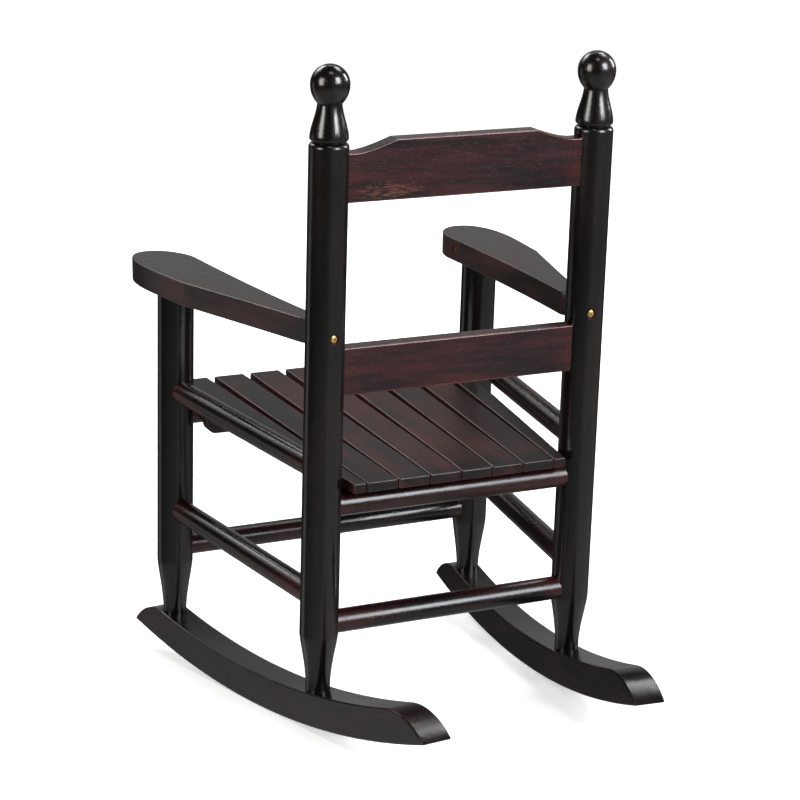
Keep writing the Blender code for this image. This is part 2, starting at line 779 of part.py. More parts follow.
def arm_outline():
    """The left arm seen from above: X outwards and -Y forwards from the rear post's axis."""
    inner_end = ARM_TIP - ARM_TIP_INNER
    outer_end = ARM_TIP - ARM_TIP_OUTER
    flare_end = min(ARM_START + ARM_FLARE_LENGTH, outer_end - ARM_EDGE)
    inner = []
    for i in range(ARM_SIDE_POINTS):
        t = i / (ARM_SIDE_POINTS - 1)
        width = ARM_NECK_INNER + (ARM_INNER_WIDTH - ARM_NECK_INNER) * t**ARM_INNER_POWER
        inner.append((-width, -(ARM_START + (inner_end - ARM_START) * t)))
    outer = []
    for i in range(ARM_SIDE_POINTS):
        t = i / (ARM_SIDE_POINTS - 1)
        width = ARM_NECK_OUTER + (ARM_OUTER_WIDTH - ARM_NECK_OUTER) * t**ARM_OUTER_POWER
        outer.append((width, -(ARM_START + (flare_end - ARM_START) * t)))
    tip = []
    for i in range(1, ARM_TIP_POINTS + 1):
        angle = math.pi / 2 * i / ARM_TIP_POINTS
        tip.append((-ARM_INNER_WIDTH * math.cos(angle), -(inner_end + ARM_TIP_INNER * math.sin(angle))))
    for i in range(1, ARM_TIP_POINTS + 1):
        angle = math.pi / 2 * (1 - i / ARM_TIP_POINTS)
        power = 2 / ARM_TIP_OUTER_POWER
        tip.append(
            (
                ARM_OUTER_WIDTH * math.cos(angle) ** power,
                -(outer_end + ARM_TIP_OUTER * math.sin(angle) ** power),
            )
        )
    return inner + tip + list(reversed(outer))


def make_arms(posts):
    arms = {}
    for side, sign in SIDES.items():
        axis = make_empty(
            f"arm axis {side}",
            leaning_frame,
            (sign * REAR_POST_X, REAR_POST_BACK, ARM_AXIS_HEIGHT),
            (ARM_SLOPE, 0, sign * TOE),
        )
        outline = [(sign * x, y) for x, y in arm_outline()]
        arm = place(
            f"armrest_{side}",
            board(f"armrest_{side}", outline, ARM_THICKNESS),
            "arm_lacquer",
            axis,
        )
        ease_edges(arm, ARM_EDGE)
        shave_neck(arm, axis, side)
        seat_arm_on_post(arm, posts["front", side], side)
        combine(posts["rear", side], arm_tenon(axis, f"arm tenon hole {side}", FIT))
        arms[side] = (arm, axis)
    return arms


def arm_tenon(axis, name, clearance):
    """The round tenon at the arm's rear end, or with a clearance the hole for it."""
    inner = ARM_START - ARM_TENON_LENGTH - clearance
    outer = ARM_START + ARM_TENON_LENGTH
    mesh = rod(name, ARM_TENON_RADIUS + clearance, outer - inner, ARM_NIB_SIDES)
    return place_cutter(name, mesh, axis, (0, -(inner + outer) / 2, 0), (math.pi / 2, 0, 0))


def shave_neck(arm, axis, side):
    """The arm's rear end is shaved round like a pencil point, and carries a tenon."""
    end = ARM_TIP + CUTTER_REACH
    wide = ARM_NIB_RADIUS + (end - ARM_START) * ARM_NIB_TAPER
    cone = turned(
        f"arm nib {side}",
        [(0, -ARM_START), (ARM_NIB_RADIUS, -ARM_START), (wide, -end), (0, -end)],
        ARM_NIB_SIDES,
    )
    nib = place_cutter(f"arm nib {side}", cone, axis, (0, 0, 0), (-math.pi / 2, 0, 0))
    combine(arm, nib, "INTERSECT")
    combine(arm, arm_tenon(axis, f"arm tenon {side}", 0), "UNION")


def seat_arm_on_post(arm, post, side):
    """The housing under the arm that takes the front post's shoulder and tenon."""
    mesh = turned(
        f"arm housing {side}",
        [
            (0, front_tenon_height() + FIT),
            (POST_TENON_RADIUS + FIT, front_tenon_height() + FIT),
            (POST_TENON_RADIUS + FIT, front_shoulder_height() + FIT),
            (POST_RADIUS + FIT, front_shoulder_height() + FIT),
            (POST_RADIUS + FIT, front_shoulder_height() - CUTTER_REACH),
            (0, front_shoulder_height() - CUTTER_REACH),
        ],
        POST_STEPS,
    )
    housing = place_cutter(
        f"arm housing {side}",
        mesh,
        leaning_frame,
        (post.location.x, post.location.y, 0),
    )
    combine(arm, housing)


def screw_mesh(name, head_radius, head, shank_radius, length, sides):
    """A countersunk wood screw with a cross recess, its head's face at the origin, pointing down."""
    profile = [
        (0, 0),
        (head_radius, 0),
        (head_radius, -head * SCREW_RIM),
        (shank_radius, -head),
        (shank_radius, -length + SCREW_POINT),
        (0, -length),
    ]
    helper = bpy.data.objects.new(name, turned(name, profile, sides))
    bpy.context.scene.collection.objects.link(helper)
    arm_length = head_radius * RECESS_REACH
    half = head_radius * RECESS_WIDTH / 2
    quarter = [(half, half), (half, arm_length), (-half, arm_length)]
    cross = []
    for turn in range(4):
        angle = RECESS_TURN + turn * math.pi / 2
        cosine, sine = math.cos(angle), math.sin(angle)
        cross += [(x * cosine - y * sine, x * sine + y * cosine) for x, y in quarter]
    recess_mesh = board(f"{name} recess", cross, 2 * head * RECESS_DEPTH)
    recess = place_cutter(f"{name} recess", recess_mesh, None)
    combine(helper, recess)
    mesh = baked(helper, name)
    bpy.data.objects.remove(recess, do_unlink=True)
    return mesh


def add_screw(name, mesh, finish, bore, parent, location, rotation, targets):
    """A screw and its bore: (head radius, head, shank radius, sides, length), cut from each target."""
    place(name, mesh, finish, parent, location, rotation)
    bore_radius, head, shank_radius, sides, length = bore
    profile = [
        (0, CUTTER_REACH),
        (bore_radius, CUTTER_REACH),
        (bore_radius, -head - FIT),
        (shank_radius + FIT, -head - FIT),
        (shank_radius + FIT, -length - FIT),
        (0, -length - FIT),
    ]
    cutter_mesh = turned(f"{name} bore", profile, sides)
    cutter = place_cutter(f"{name} bore", cutter_mesh, parent, location, rotation)
    for target in targets:
        combine(target, cutter)


def arm_inner_width(distance):
    """The arm's inner half width at a distance in front of the rear post's axis."""
    t = (distance - ARM_START) / (ARM_TIP - ARM_TIP_INNER - ARM_START)
    return ARM_NECK_INNER + (ARM_INNER_WIDTH - ARM_NECK_INNER) * min(t, 1.0) ** ARM_INNER_POWER


def make_arm_screws(arms, posts):
    """Brass screws: one through each rear post into the arm, one from its inner edge into the tenon."""
    sizes = (ARM_SCREW_HEAD_RADIUS, ARM_SCREW_HEAD, ARM_SCREW_SHANK_RADIUS)
    rear_mesh = screw_mesh("arm_rear_screw", *sizes, ARM_REAR_SCREW_LENGTH, ARM_SCREW_SIDES)
    front_mesh = screw_mesh("arm_front_screw", *sizes, ARM_FRONT_SCREW_LENGTH, ARM_SCREW_SIDES)
    bore = (ARM_COUNTERBORE_RADIUS, ARM_SCREW_HEAD, ARM_SCREW_SHANK_RADIUS, ARM_SCREW_SIDES)
    for side, sign in SIDES.items():
        arm, axis = arms[side]
        add_screw(
            f"arm_rear_screw_{side}",
            rear_mesh,
            "brass",
            (*bore, ARM_REAR_SCREW_LENGTH),
            axis,
            (0, POST_RADIUS - ARM_SCREW_SINK, 0),
            (-math.pi / 2, 0, 0),
            (posts["rear", side], arm),
        )
        add_screw(
            f"arm_front_screw_{side}",
            front_mesh,
            "brass",
            (*bore, ARM_FRONT_SCREW_LENGTH),
            axis,
            (-sign * (arm_inner_width(POST_DISTANCE) - ARM_SCREW_SINK), -POST_DISTANCE, 0),
            (0, -sign * math.pi / 2, 0),
            (arm, posts["front", side]),
        )


def frame_screw(name, length):
    return screw_mesh(
        name,
        FRAME_SCREW_HEAD_RADIUS,
        FRAME_SCREW_HEAD,
        FRAME_SCREW_SHANK_RADIUS,
        length,
        FRAME_SCREW_SIDES,
    )


def frame_bore(length):
    head_radius = FRAME_SCREW_HEAD_RADIUS + FIT
    return (head_radius, FRAME_SCREW_HEAD, FRAME_SCREW_SHANK_RADIUS, FRAME_SCREW_SIDES, length)


def make_rocker_screws(posts, rockers):
    """Screws up through the rockers into the feet of the posts."""
    for row, back in (("rear", REAR_POST_BACK), ("front", FRONT_POST_BACK)):
        start = rocker_bottom_height(back) + ROCKER_SCREW_SINK
        length = foot_end(back) + ROCKER_SCREW_BITE - start
        mesh = frame_screw(f"rocker_screw_{row}", length)
        for side in SIDES:
            post = posts[row, side]
            add_screw(
                f"rocker_screw_{row}_{side}",
                mesh,
                "zinc",
                frame_bore(length),
                leaning_frame,
                (post.location.x, post.location.y, start),
                (math.pi, 0, 0),
                (rockers[side], post),
            )


def make_seat_screws(slats, battens, rails):
    """Screws up through the battens into the slats, and through the battens into the seat rails."""
    edges = slat_edges()
    for row, batten in battens.items():
        y, top = batten_place(row)
        start = top - BATTEN_WIDTH + SLAT_SCREW_SINK
        length = top + FIT + SLAT_SCREW_BITE - start
        mesh = frame_screw(f"slat_screw_{row}", length)
        for number, (slat, sign, edge) in enumerate(slats, start=1):
            add_screw(
                f"slat_screw_{row}_{number}",
                mesh,
                "zinc",
                frame_bore(length),
                leaning_frame,
                (sign * slat_centre(edge, y), y, start),
                (math.pi, 0, 0),
                (batten, slat),
            )
        towards = 1 if row == "rear" else -1
        length = BATTEN_THICKNESS - BATTEN_SCREW_SINK + BATTEN_SCREW_BITE
        mesh = frame_screw(f"batten_screw_{row}", length)
        between = (slat_centre(edges[-3], y) + slat_centre(edges[-2], y)) / 2
        rail_height = REAR_SEAT_RAIL_HEIGHT if row == "rear" else FRONT_SEAT_RAIL_HEIGHT
        for side, sign in SIDES.items():
            add_screw(
                f"batten_screw_{row}_{side}",
                mesh,
                "zinc",
                frame_bore(length),
                leaning_frame,
                (
                    sign * between,
                    y - towards * (BATTEN_THICKNESS / 2 - BATTEN_SCREW_SINK),
                    rail_height,
                ),
                (towards * math.pi / 2, 0, 0),
                (batten, rails[row]),
            )


clear_scene()
chair = make_collection("childs_rocking_chair")
cutters = make_collection("cutters")
finishes = {name: make_finish(name) for name in FINISHES}

# The origin is under the middle of the rockers, which reach further back than forward
rocking_point = -(ROCKER_REAR_REACH - ROCKER_FRONT_REACH) / 2 * math.cos(TOE)
floor_point = make_empty("rocking point", None, (0, rocking_point, 0), (0, 0, 0))
leaning_frame = make_empty("leaning frame", floor_point, (0, 0, 0), (-LEAN, 0, 0))

rocker_pair = make_rockers()
post_set = make_posts()
seat_feet(post_set, rocker_pair)
make_dowels(post_set)
make_back_rails(post_set)
slat_row = make_slats()
batten_pair = make_battens()
arm_pair = make_arms(post_set)
make_arm_screws(arm_pair, post_set)
make_rocker_screws(post_set, rocker_pair)
seat_rails = {row: chair.objects[f"{row}_seat_rail"] for row in ("rear", "front")}
make_seat_screws(slat_row, batten_pair, seat_rails)
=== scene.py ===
"""The finished look of a child's slat-seat rocking chair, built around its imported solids.

Lengths are in metres, +Z is up, the sitter faces -Y and the sitter's left is +X. Every wooden piece
is made again at the size and place of its solid, with a fine surface and rounded edges, and gets a
lacquered wood whose grain runs along the piece.
"""

import itertools
import math

import bmesh
import bpy
from mathutils import Euler, Matrix, Vector


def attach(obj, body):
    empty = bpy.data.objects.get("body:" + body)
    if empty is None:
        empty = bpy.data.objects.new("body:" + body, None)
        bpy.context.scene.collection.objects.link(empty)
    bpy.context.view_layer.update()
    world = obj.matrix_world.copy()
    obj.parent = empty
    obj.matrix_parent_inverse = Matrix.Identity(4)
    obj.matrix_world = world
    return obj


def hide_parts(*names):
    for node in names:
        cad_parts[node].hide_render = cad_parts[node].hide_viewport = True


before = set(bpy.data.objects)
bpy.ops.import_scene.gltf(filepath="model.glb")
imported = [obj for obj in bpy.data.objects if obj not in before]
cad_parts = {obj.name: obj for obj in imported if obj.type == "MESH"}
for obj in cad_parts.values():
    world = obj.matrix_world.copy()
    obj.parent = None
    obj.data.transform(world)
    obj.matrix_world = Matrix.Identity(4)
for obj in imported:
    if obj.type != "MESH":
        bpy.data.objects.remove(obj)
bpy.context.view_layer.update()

# Rockers
ROCKER_RADIUS = 1.053
ROCKER_DEPTH = 0.0295
ROCKER_THICKNESS = 0.028
ROCKER_REAR_REACH = 0.2765
ROCKER_FRONT_REACH = 0.2325
ROCKER_NOSE_RADIUS = 0.064
ROCKER_EDGE = 0.0014
ROCKER_STEPS = 96
NOSE_STEPS = 20

# The leaning frame and its posts
LEAN = math.radians(7.0)
REAR_POST_BACK = 0.0841
POST_SPACING = 0.2614
REAR_POST_X = 0.1225
FRONT_POST_X = 0.1556
POST_RADIUS = 0.0167
POST_ABOVE_CREST = 0.0091
BALL_RADIUS = 0.0163
BALL_DROP = 0.0198
BALL_ABOVE_NECK = 0.0162
NECK_LENGTH = 0.0258
NECK_RADIUS = 0.0103
NECK_SWELL = 0.5
BELL_RADIUS = 0.0161
BELL_HEIGHT = 0.0049
BELL_LIP = 0.0017
GROOVE_WIDTH = 0.0007
SHOULDER_ROUND = 0.004
REAR_TAPER_HEIGHT = 0.0973
FRONT_TAPER_HEIGHT = 0.0767
REAR_TAPER_LENGTH = 0.044
FRONT_TAPER_LENGTH = 0.051
TAPER_SWELL = 0.6
TAPER_EASE = 0.8
TAPER_POINTS = 16
TAPER_WEAR = 0.5
FOOT_RADIUS = 0.0107
FOOT_TENON = 0.018
POST_SIDES = 96
BALL_TOP_POINTS = 24
BALL_UNDER_POINTS = 14
BELL_POINTS = 20
SHOULDER_POINTS = 8

# Dowel rails and stretchers
DOWEL_RADIUS = 0.0103
DOWEL_EMBED = 0.018
SIDE_RAIL_HEIGHT = 0.2430
REAR_SEAT_RAIL_WEB = 0.0108
FRONT_SEAT_RAIL_WEB = 0.0040
SIDE_STRETCHER_HEIGHT = 0.1276
REAR_STRETCHER_WEB = 0.0018
FRONT_STRETCHER_WEB = 0.0179
DOWEL_SIDES = 64

# Back rails
RAIL_THICKNESS = 0.015
RAIL_EMBED = 0.009
RAIL_EDGE = 0.0013
CREST_BOTTOM_HEIGHT = 0.4725
CREST_END_WIDTH = 0.0412
CREST_RISE = 0.0096
CREST_FLAT_HALF = 0.065
CREST_COVE = 0.035
CREST_COVE_POWER = 1.4
CREST_COVE_POINTS = 16
LOWER_RAIL_BOTTOM_HEIGHT = 0.3091
LOWER_RAIL_WIDTH = 0.0411

# Seat slats and the battens under them
SLATS_A_SIDE = 4
SLAT_THICKNESS = 0.009
SLAT_EDGE = 0.0012
SLAT_REAR_OVERHANG = 0.0185
SLAT_FRONT_OVERHANG = 0.0306
SLAT_REAR_SPACE = 0.0006
SEAT_REAR_GAP = 0.0026
SEAT_FRONT_GAP = 0.0048
OUTER_SLAT_REAR_WIDTH = 0.0114
OUTER_SLAT_FRONT_WIDTH = 0.0250
SEAT_LIFT_REAR = 0.0038
SEAT_LIFT_FRONT = 0.0028
BATTEN_THICKNESS = 0.012
BATTEN_WIDTH = 0.028
BATTEN_CORNER = 0.010
BATTEN_CORNER_POINTS = 10
BATTEN_END_GAP = 0.010
BATTEN_EDGE = 0.0008

# Armrests
ARM_AXIS_HEIGHT = 0.3606
ARM_SLOPE = math.radians(1.95)
ARM_THICKNESS = 0.0214
ARM_EDGE = 0.0012
ARM_NECK_INNER = 0.0102
ARM_NECK_OUTER = 0.0068
ARM_INNER_WIDTH = 0.0284
ARM_OUTER_WIDTH = 0.0318
ARM_INNER_POWER = 1.55
ARM_OUTER_POWER = 1.08
ARM_FLARE_LENGTH = 0.177
ARM_FRONT_OVERHANG = 0.0615
ARM_TIP_INNER = 0.045
ARM_TIP_OUTER = 0.080
ARM_TIP_OUTER_POWER = 2.3
ARM_SIDE_POINTS = 30
ARM_TIP_POINTS = 24
ARM_NIB_RADIUS = 0.0095
ARM_NIB_TAPER = 0.35
ARM_NIB_SIDES = 96
ARM_NIB_EMBED = 0.004
POST_TENON_RADIUS = 0.010
POST_TENON_LENGTH = 0.013
POST_SINK = 0.0008

# Screws; the crown and the cross recess are fractions of the head's size
ARM_SCREW_HEAD_RADIUS = 0.0034
ARM_SCREW_HEAD = 0.0024
ARM_SCREW_SHANK_RADIUS = 0.0018
ARM_SCREW_SINK = 0.0014
ARM_COUNTERBORE_RADIUS = 0.0047
ARM_REAR_SCREW_LENGTH = 0.050
ARM_FRONT_SCREW_LENGTH = 0.030
FRAME_SCREW_HEAD_RADIUS = 0.0030
FRAME_SCREW_HEAD = 0.0022
FRAME_SCREW_SHANK_RADIUS = 0.0015
ROCKER_SCREW_SINK = 0.0045
ROCKER_SCREW_BITE = 0.022
SLAT_SCREW_SINK = 0.0035
SLAT_SCREW_BITE = 0.0055
BATTEN_SCREW_SINK = 0.0005
BATTEN_SCREW_BITE = 0.011
SCREW_POINT = 0.004
SCREW_DOME = 0.0004
SCREW_CROWN_RADIUS = 0.7
SCREW_CROWN_DROP = 0.4
REAR_SCREW_TURN = 0.5
FRONT_SCREW_TURN = 0.3
RECESS_REACH = 0.62
RECESS_WIDTH = 0.24
RECESS_DEPTH = 0.62
RECESS_TAPER = 0.6
SCREW_SIDES = 40
BORE_SIDES = 48

# Clearance, the reach of a cutter past a wall, and how edges are eased and shaded
FIT = 0.0003
CUTTER_REACH = 0.020
EDGE_SEGMENTS = 3
EASED_ANGLE = math.radians(50)
SHARP_ANGLE = math.radians(35)
FLANK_FACING = 0.97

# The wood's patterns, each as its stretch along the grain, its scale, detail and distortion
FIBRES = (0.045, 950, 3, 0.0)
STREAKS = (0.05, 330, 2, 0.0)
FIGURE = (0.12, 85, 4, 0.4)
CLOUDS = (0.45, 24, 2, 0.0)
PORES = (0.06, 2100, 1, 0.0)
DASHES = (0.12, 1100, 3, 0.0)
WAVES = (0.7, 170, 1, 0.0)

# Patterns that aren't stretched, as scale and detail
SPECKLE = (620, 3)
PEEL = (520, 2)

# How the patterns act: the low and the high end of each, and what it turns them into
CLOUD_STAIN = (0.38, 0.64, -0.25, 0.45)
FIGURE_STAIN = (0.36, 0.64, -0.22, 0.22)
STREAK_STAIN = (0.35, 0.65, -0.16, 0.16)
JOINT_REACH = (0.80, 1.0)
FIBRE_SHADE = (0.3, 0.7, 0.78, 1.22)
WEAR_PATCHES = (0.35, 0.60, 0.2, 1.0)
PORE_REACH = (0.64, 0.74)
PORE_COVER = 0.45
PORE_DARKENING = 0.4
RUB_REACH = (0.1, 1.0, 1.0, 0.0)
RUB_CROWDING = 0.16
DASH_REACH = (0.58, 0.74)
SHEEN_SPREAD = (-0.04, 0.05)
PORE_ROUGHNESS = 0.10
MIDDLE_REACH = (0.3, 0.7)
SPECKLE_ROUGHNESS = (0.5, 0.75, 0.12)

# Bumps in the lacquer, as depth and strength
WAVE_BUMP = (0.0003, 0.35)
PEEL_BUMP = (0.0001, 0.35)
FIBRE_BUMP = (0.00008, 0.4)
SPECKLE_BUMP = (0.00005, 0.35)

# Warmth of the stain: how thin it lies on each kind of piece, and on each slat from the sitter's left
WARMTH = 0.2
SIDE_DOWEL_WARMTH = 0.25
CROSS_DOWEL_WARMTH = 0.3
RAIL_WARMTH = 0.22
SLAT_WARMTH = (0.0, 0.1, 0.45, 0.6, 0.6, 0.5, 0.3, 0.15)

# How far apart the pieces' grains start, the axes of a mesh in the order that puts the grain last, and
# the middle and half length of a piece whose joints don't show
GRAIN_SHIFT = (0.71, 0.37, 1.13)
GRAIN_ORDER = {"X": (1, 2, 0), "Y": (2, 0, 1), "Z": (0, 1, 2)}
WHOLE_SPAN = (0.0, 100.0)
piece_numbers = itertools.count(1)

# Bare wood in the bores, and the plating of the screws
RAW_GRAIN = (1500, 3)
RAW_GRAIN_REACH = (0.35, 0.7)
RAW_DARKENING = 0.25
RAW_ROUGHNESS = 0.6
RAW_BUMP = (0.0002, 0.5)
PLATING_SPOTS = (900, 3)
PLATING_SCRATCHES = (2600, 2)
SCRATCH_STRETCH = (1, 1, 6)
PLATING_DULLING = 0.55
DULL_REACH = (0.5, 0.75)
SHINE_REACH = (0.4, 0.8)
SHINE_SPREAD = 0.2
SCRATCH_BUMP = (0.00003, 0.4)

# The photograph's camera: where it stands, its turn, its height over the horizon and its roll
CAMERA_PLACE = (0.919899, 1.943275, 0.679950)
CAMERA_LENS = 110.849
SENSOR_WIDTH = 36.0
CAMERA_AZIMUTH = math.radians(154.051)
CAMERA_ELEVATION = math.radians(17.271)
CAMERA_ROLL = math.radians(1.751)
CAMERA_REACH = 100

# Softboxes as the ball finials mirror them: two in front, one beside and five above the chair. Each has
# its direction by the camera's right, up and backward, its distance, size, power and colour.
WHITE = (1.0, 1.0, 1.0)
LAMP_AIM = Vector((0, 0, 0.30))
LAMPS = {
    "left window": ((-0.730, 0.146, 0.667), 4.8, (1.9, 2.7), 180, (1.0, 0.99, 0.95)),
    "right window": ((0.695, 0.256, 0.671), 4.8, (1.9, 2.4), 330, (0.92, 0.95, 1.0)),
    "right strip": ((0.832, 0.457, -0.313), 4.8, (0.9, 2.0), 130, WHITE),
    "top left": ((-0.436, 0.801, -0.420), 4.4, (2.0, 1.2), 60, WHITE),
    "top right": ((0.380, 0.900, -0.220), 4.4, (2.0, 1.2), 70, WHITE),
    "overhead": ((0.088, 0.828, 0.552), 4.4, (0.9, 0.9), 14, WHITE),
    "top middle": ((0.0, 0.90, -0.44), 4.4, (1.4, 1.2), 8, WHITE),
    "top left wing": ((-0.62, 0.66, -0.42), 4.4, (2.2, 1.4), 17, WHITE),
}

# The room that the lacquer mirrors: its darkest level, the floor's level with the sines of the angles
# where it starts and ends, the right side's direction, reach and level, and for the reflector and the
# back wall the azimuths, heights, soft edge and level
ROOM_DIM = 0.04
ROOM_FLOOR = 0.45
ROOM_FLOOR_REACH = (0.22, 0.60)
ROOM_RIGHT = ((0.94, 0.0, 0.34), (0.35, 0.75), 0.25)
ROOM_PANELS = (
    ((98, 124), (-0.72, 0.12), 0.10, 0.50),
    ((148, 212), (-0.14, 0.56), 0.12, 0.36),
)

# The pale floor: its colours, noise, roughness and glow, which grows with the distance from the chair
FLOOR_REACH = 60.0
FLOOR_COLOURS = ((0.90, 0.90, 0.90), (0.92, 0.92, 0.92))
FLOOR_NOISE = (3, 2)
FLOOR_ROUGHNESS = 0.9
FLOOR_GLOW = (0.45, 0.95)
FLOOR_GLOW_REACH = (0.8, 3.0)

SIDES = {"left": 1, "right": -1}

# Sizes that follow from those above
FRONT_POST_BACK = REAR_POST_BACK - POST_SPACING
TOE = math.atan2(FRONT_POST_X - REAR_POST_X, POST_SPACING)
POST_DISTANCE = math.hypot(FRONT_POST_X - REAR_POST_X, POST_SPACING)
REAR_SEAT_RAIL_HEIGHT = SIDE_RAIL_HEIGHT - 2 * DOWEL_RADIUS - REAR_SEAT_RAIL_WEB
FRONT_SEAT_RAIL_HEIGHT = SIDE_RAIL_HEIGHT - 2 * DOWEL_RADIUS - FRONT_SEAT_RAIL_WEB
REAR_STRETCHER_HEIGHT = SIDE_STRETCHER_HEIGHT - 2 * DOWEL_RADIUS - REAR_STRETCHER_WEB
FRONT_STRETCHER_HEIGHT = SIDE_STRETCHER_HEIGHT - 2 * DOWEL_RADIUS - FRONT_STRETCHER_WEB
SHOULDER_LEVEL = CREST_BOTTOM_HEIGHT + CREST_END_WIDTH + POST_ABOVE_CREST
BELL_LEVEL = SHOULDER_LEVEL + BELL_HEIGHT
NECK_LEVEL = BELL_LEVEL + NECK_LENGTH
BALL_LEVEL = NECK_LEVEL + BALL_ABOVE_NECK
SEAT_UNDER_REAR = REAR_SEAT_RAIL_HEIGHT + DOWEL_RADIUS + SEAT_LIFT_REAR
SEAT_UNDER_FRONT = FRONT_SEAT_RAIL_HEIGHT + DOWEL_RADIUS + SEAT_LIFT_FRONT
SEAT_SLOPE = math.atan2(SEAT_UNDER_FRONT - SEAT_UNDER_REAR, POST_SPACING)
ARM_TIP = POST_DISTANCE + ARM_FRONT_OVERHANG
ARM_START = POST_RADIUS + FIT
ROCKING_POINT = -(ROCKER_REAR_REACH - ROCKER_FRONT_REACH) / 2 * math.cos(TOE)
FLOOR_FRAME = Matrix.Translation((0, ROCKING_POINT, 0))
LEANING_FRAME = FLOOR_FRAME @ Matrix.Rotation(-LEAN, 4, "X")


def turn(x, y, z):
    return Euler((x, y, z)).to_matrix().to_4x4()


def shift(x, y, z):
    return Matrix.Translation((x, y, z))


# Node helpers


def set_inputs(node, inputs):
    """Sets a node's inputs to numbers, or links them to sockets."""
    for name, value in inputs.items():
        if isinstance(value, bpy.types.NodeSocket):
            node.id_data.links.new(value, node.inputs[name])
        else:
            node.inputs[name].default_value = value


def add_node(tree, kind, inputs=None, **settings):
    node = tree.nodes.new(kind)
    for name, value in settings.items():
        setattr(node, name, value)
    set_inputs(node, inputs or {})
    return node


def maths(tree, operation, a, b=0.0, clamp=False):
    node = add_node(tree, "ShaderNodeMath", {0: a, 1: b}, operation=operation, use_clamp=clamp)
    return node.outputs[0]


def attribute(tree, name, output="Fac"):
    return add_node(tree, "ShaderNodeAttribute", attribute_name=name).outputs[output]


def stretched(tree, vector, scale):
    return add_node(tree, "ShaderNodeMapping", {"Vector": vector, "Scale": scale}).outputs["Vector"]


def noise_of(tree, vector, scale, detail, distortion=0.0):
    inputs = {"Vector": vector, "Scale": scale, "Detail": detail, "Distortion": distortion}
    return add_node(tree, "ShaderNodeTexNoise", inputs).outputs["Fac"]


def ramp(tree, value, low, high, to_low=0.0, to_high=1.0):
    """value between low and high, eased to between to_low and to_high."""
    inputs = {"Value": value, 1: low, 2: high, 3: to_low, 4: to_high}
    node = add_node(tree, "ShaderNodeMapRange", inputs, interpolation_type="SMOOTHSTEP")
    return node.outputs["Result"]


def mixed(tree, factor, a, b, blend="MIX"):
    """A mix of two colours, each a socket or a colour."""
    a, b = (c if isinstance(c, bpy.types.NodeSocket) else (*c, 1.0) for c in (a, b))
    inputs = {0: factor, 6: a, 7: b}
    return add_node(tree, "ShaderNodeMix", inputs, data_type="RGBA", blend_type=blend).outputs[2]


def bump(tree, height, distance, strength, normal=None):
    inputs = {"Height": height, "Distance": distance, "Strength": strength}
    if normal is not None:
        inputs["Normal"] = normal
    return add_node(tree, "ShaderNodeBump", inputs).outputs["Normal"]


# Materials


def new_material(name):
    """A material, its node tree and its shader."""
    material = bpy.data.materials.new(name)
    material.use_nodes = True
    return material, material.node_tree, material.node_tree.nodes["Principled BSDF"]


def grain_pattern(tree, wood, pattern):
    stretch, scale, detail, distortion = pattern
    return noise_of(tree, stretched(tree, wood, (1, 1, stretch)), scale, detail, distortion)


def distance_from(tree, wood, middle, radii):
    """The distance from a middle, as a fraction of the radii."""
    offset = add_node(tree, "ShaderNodeVectorMath", {0: wood, 1: middle}, operation="SUBTRACT")
    scaled = {0: offset.outputs[0], 1: radii}
    scaled = add_node(tree, "ShaderNodeVectorMath", scaled, operation="DIVIDE").outputs[0]
    return add_node(tree, "ShaderNodeVectorMath", {0: scaled}, operation="LENGTH").outputs["Value"]


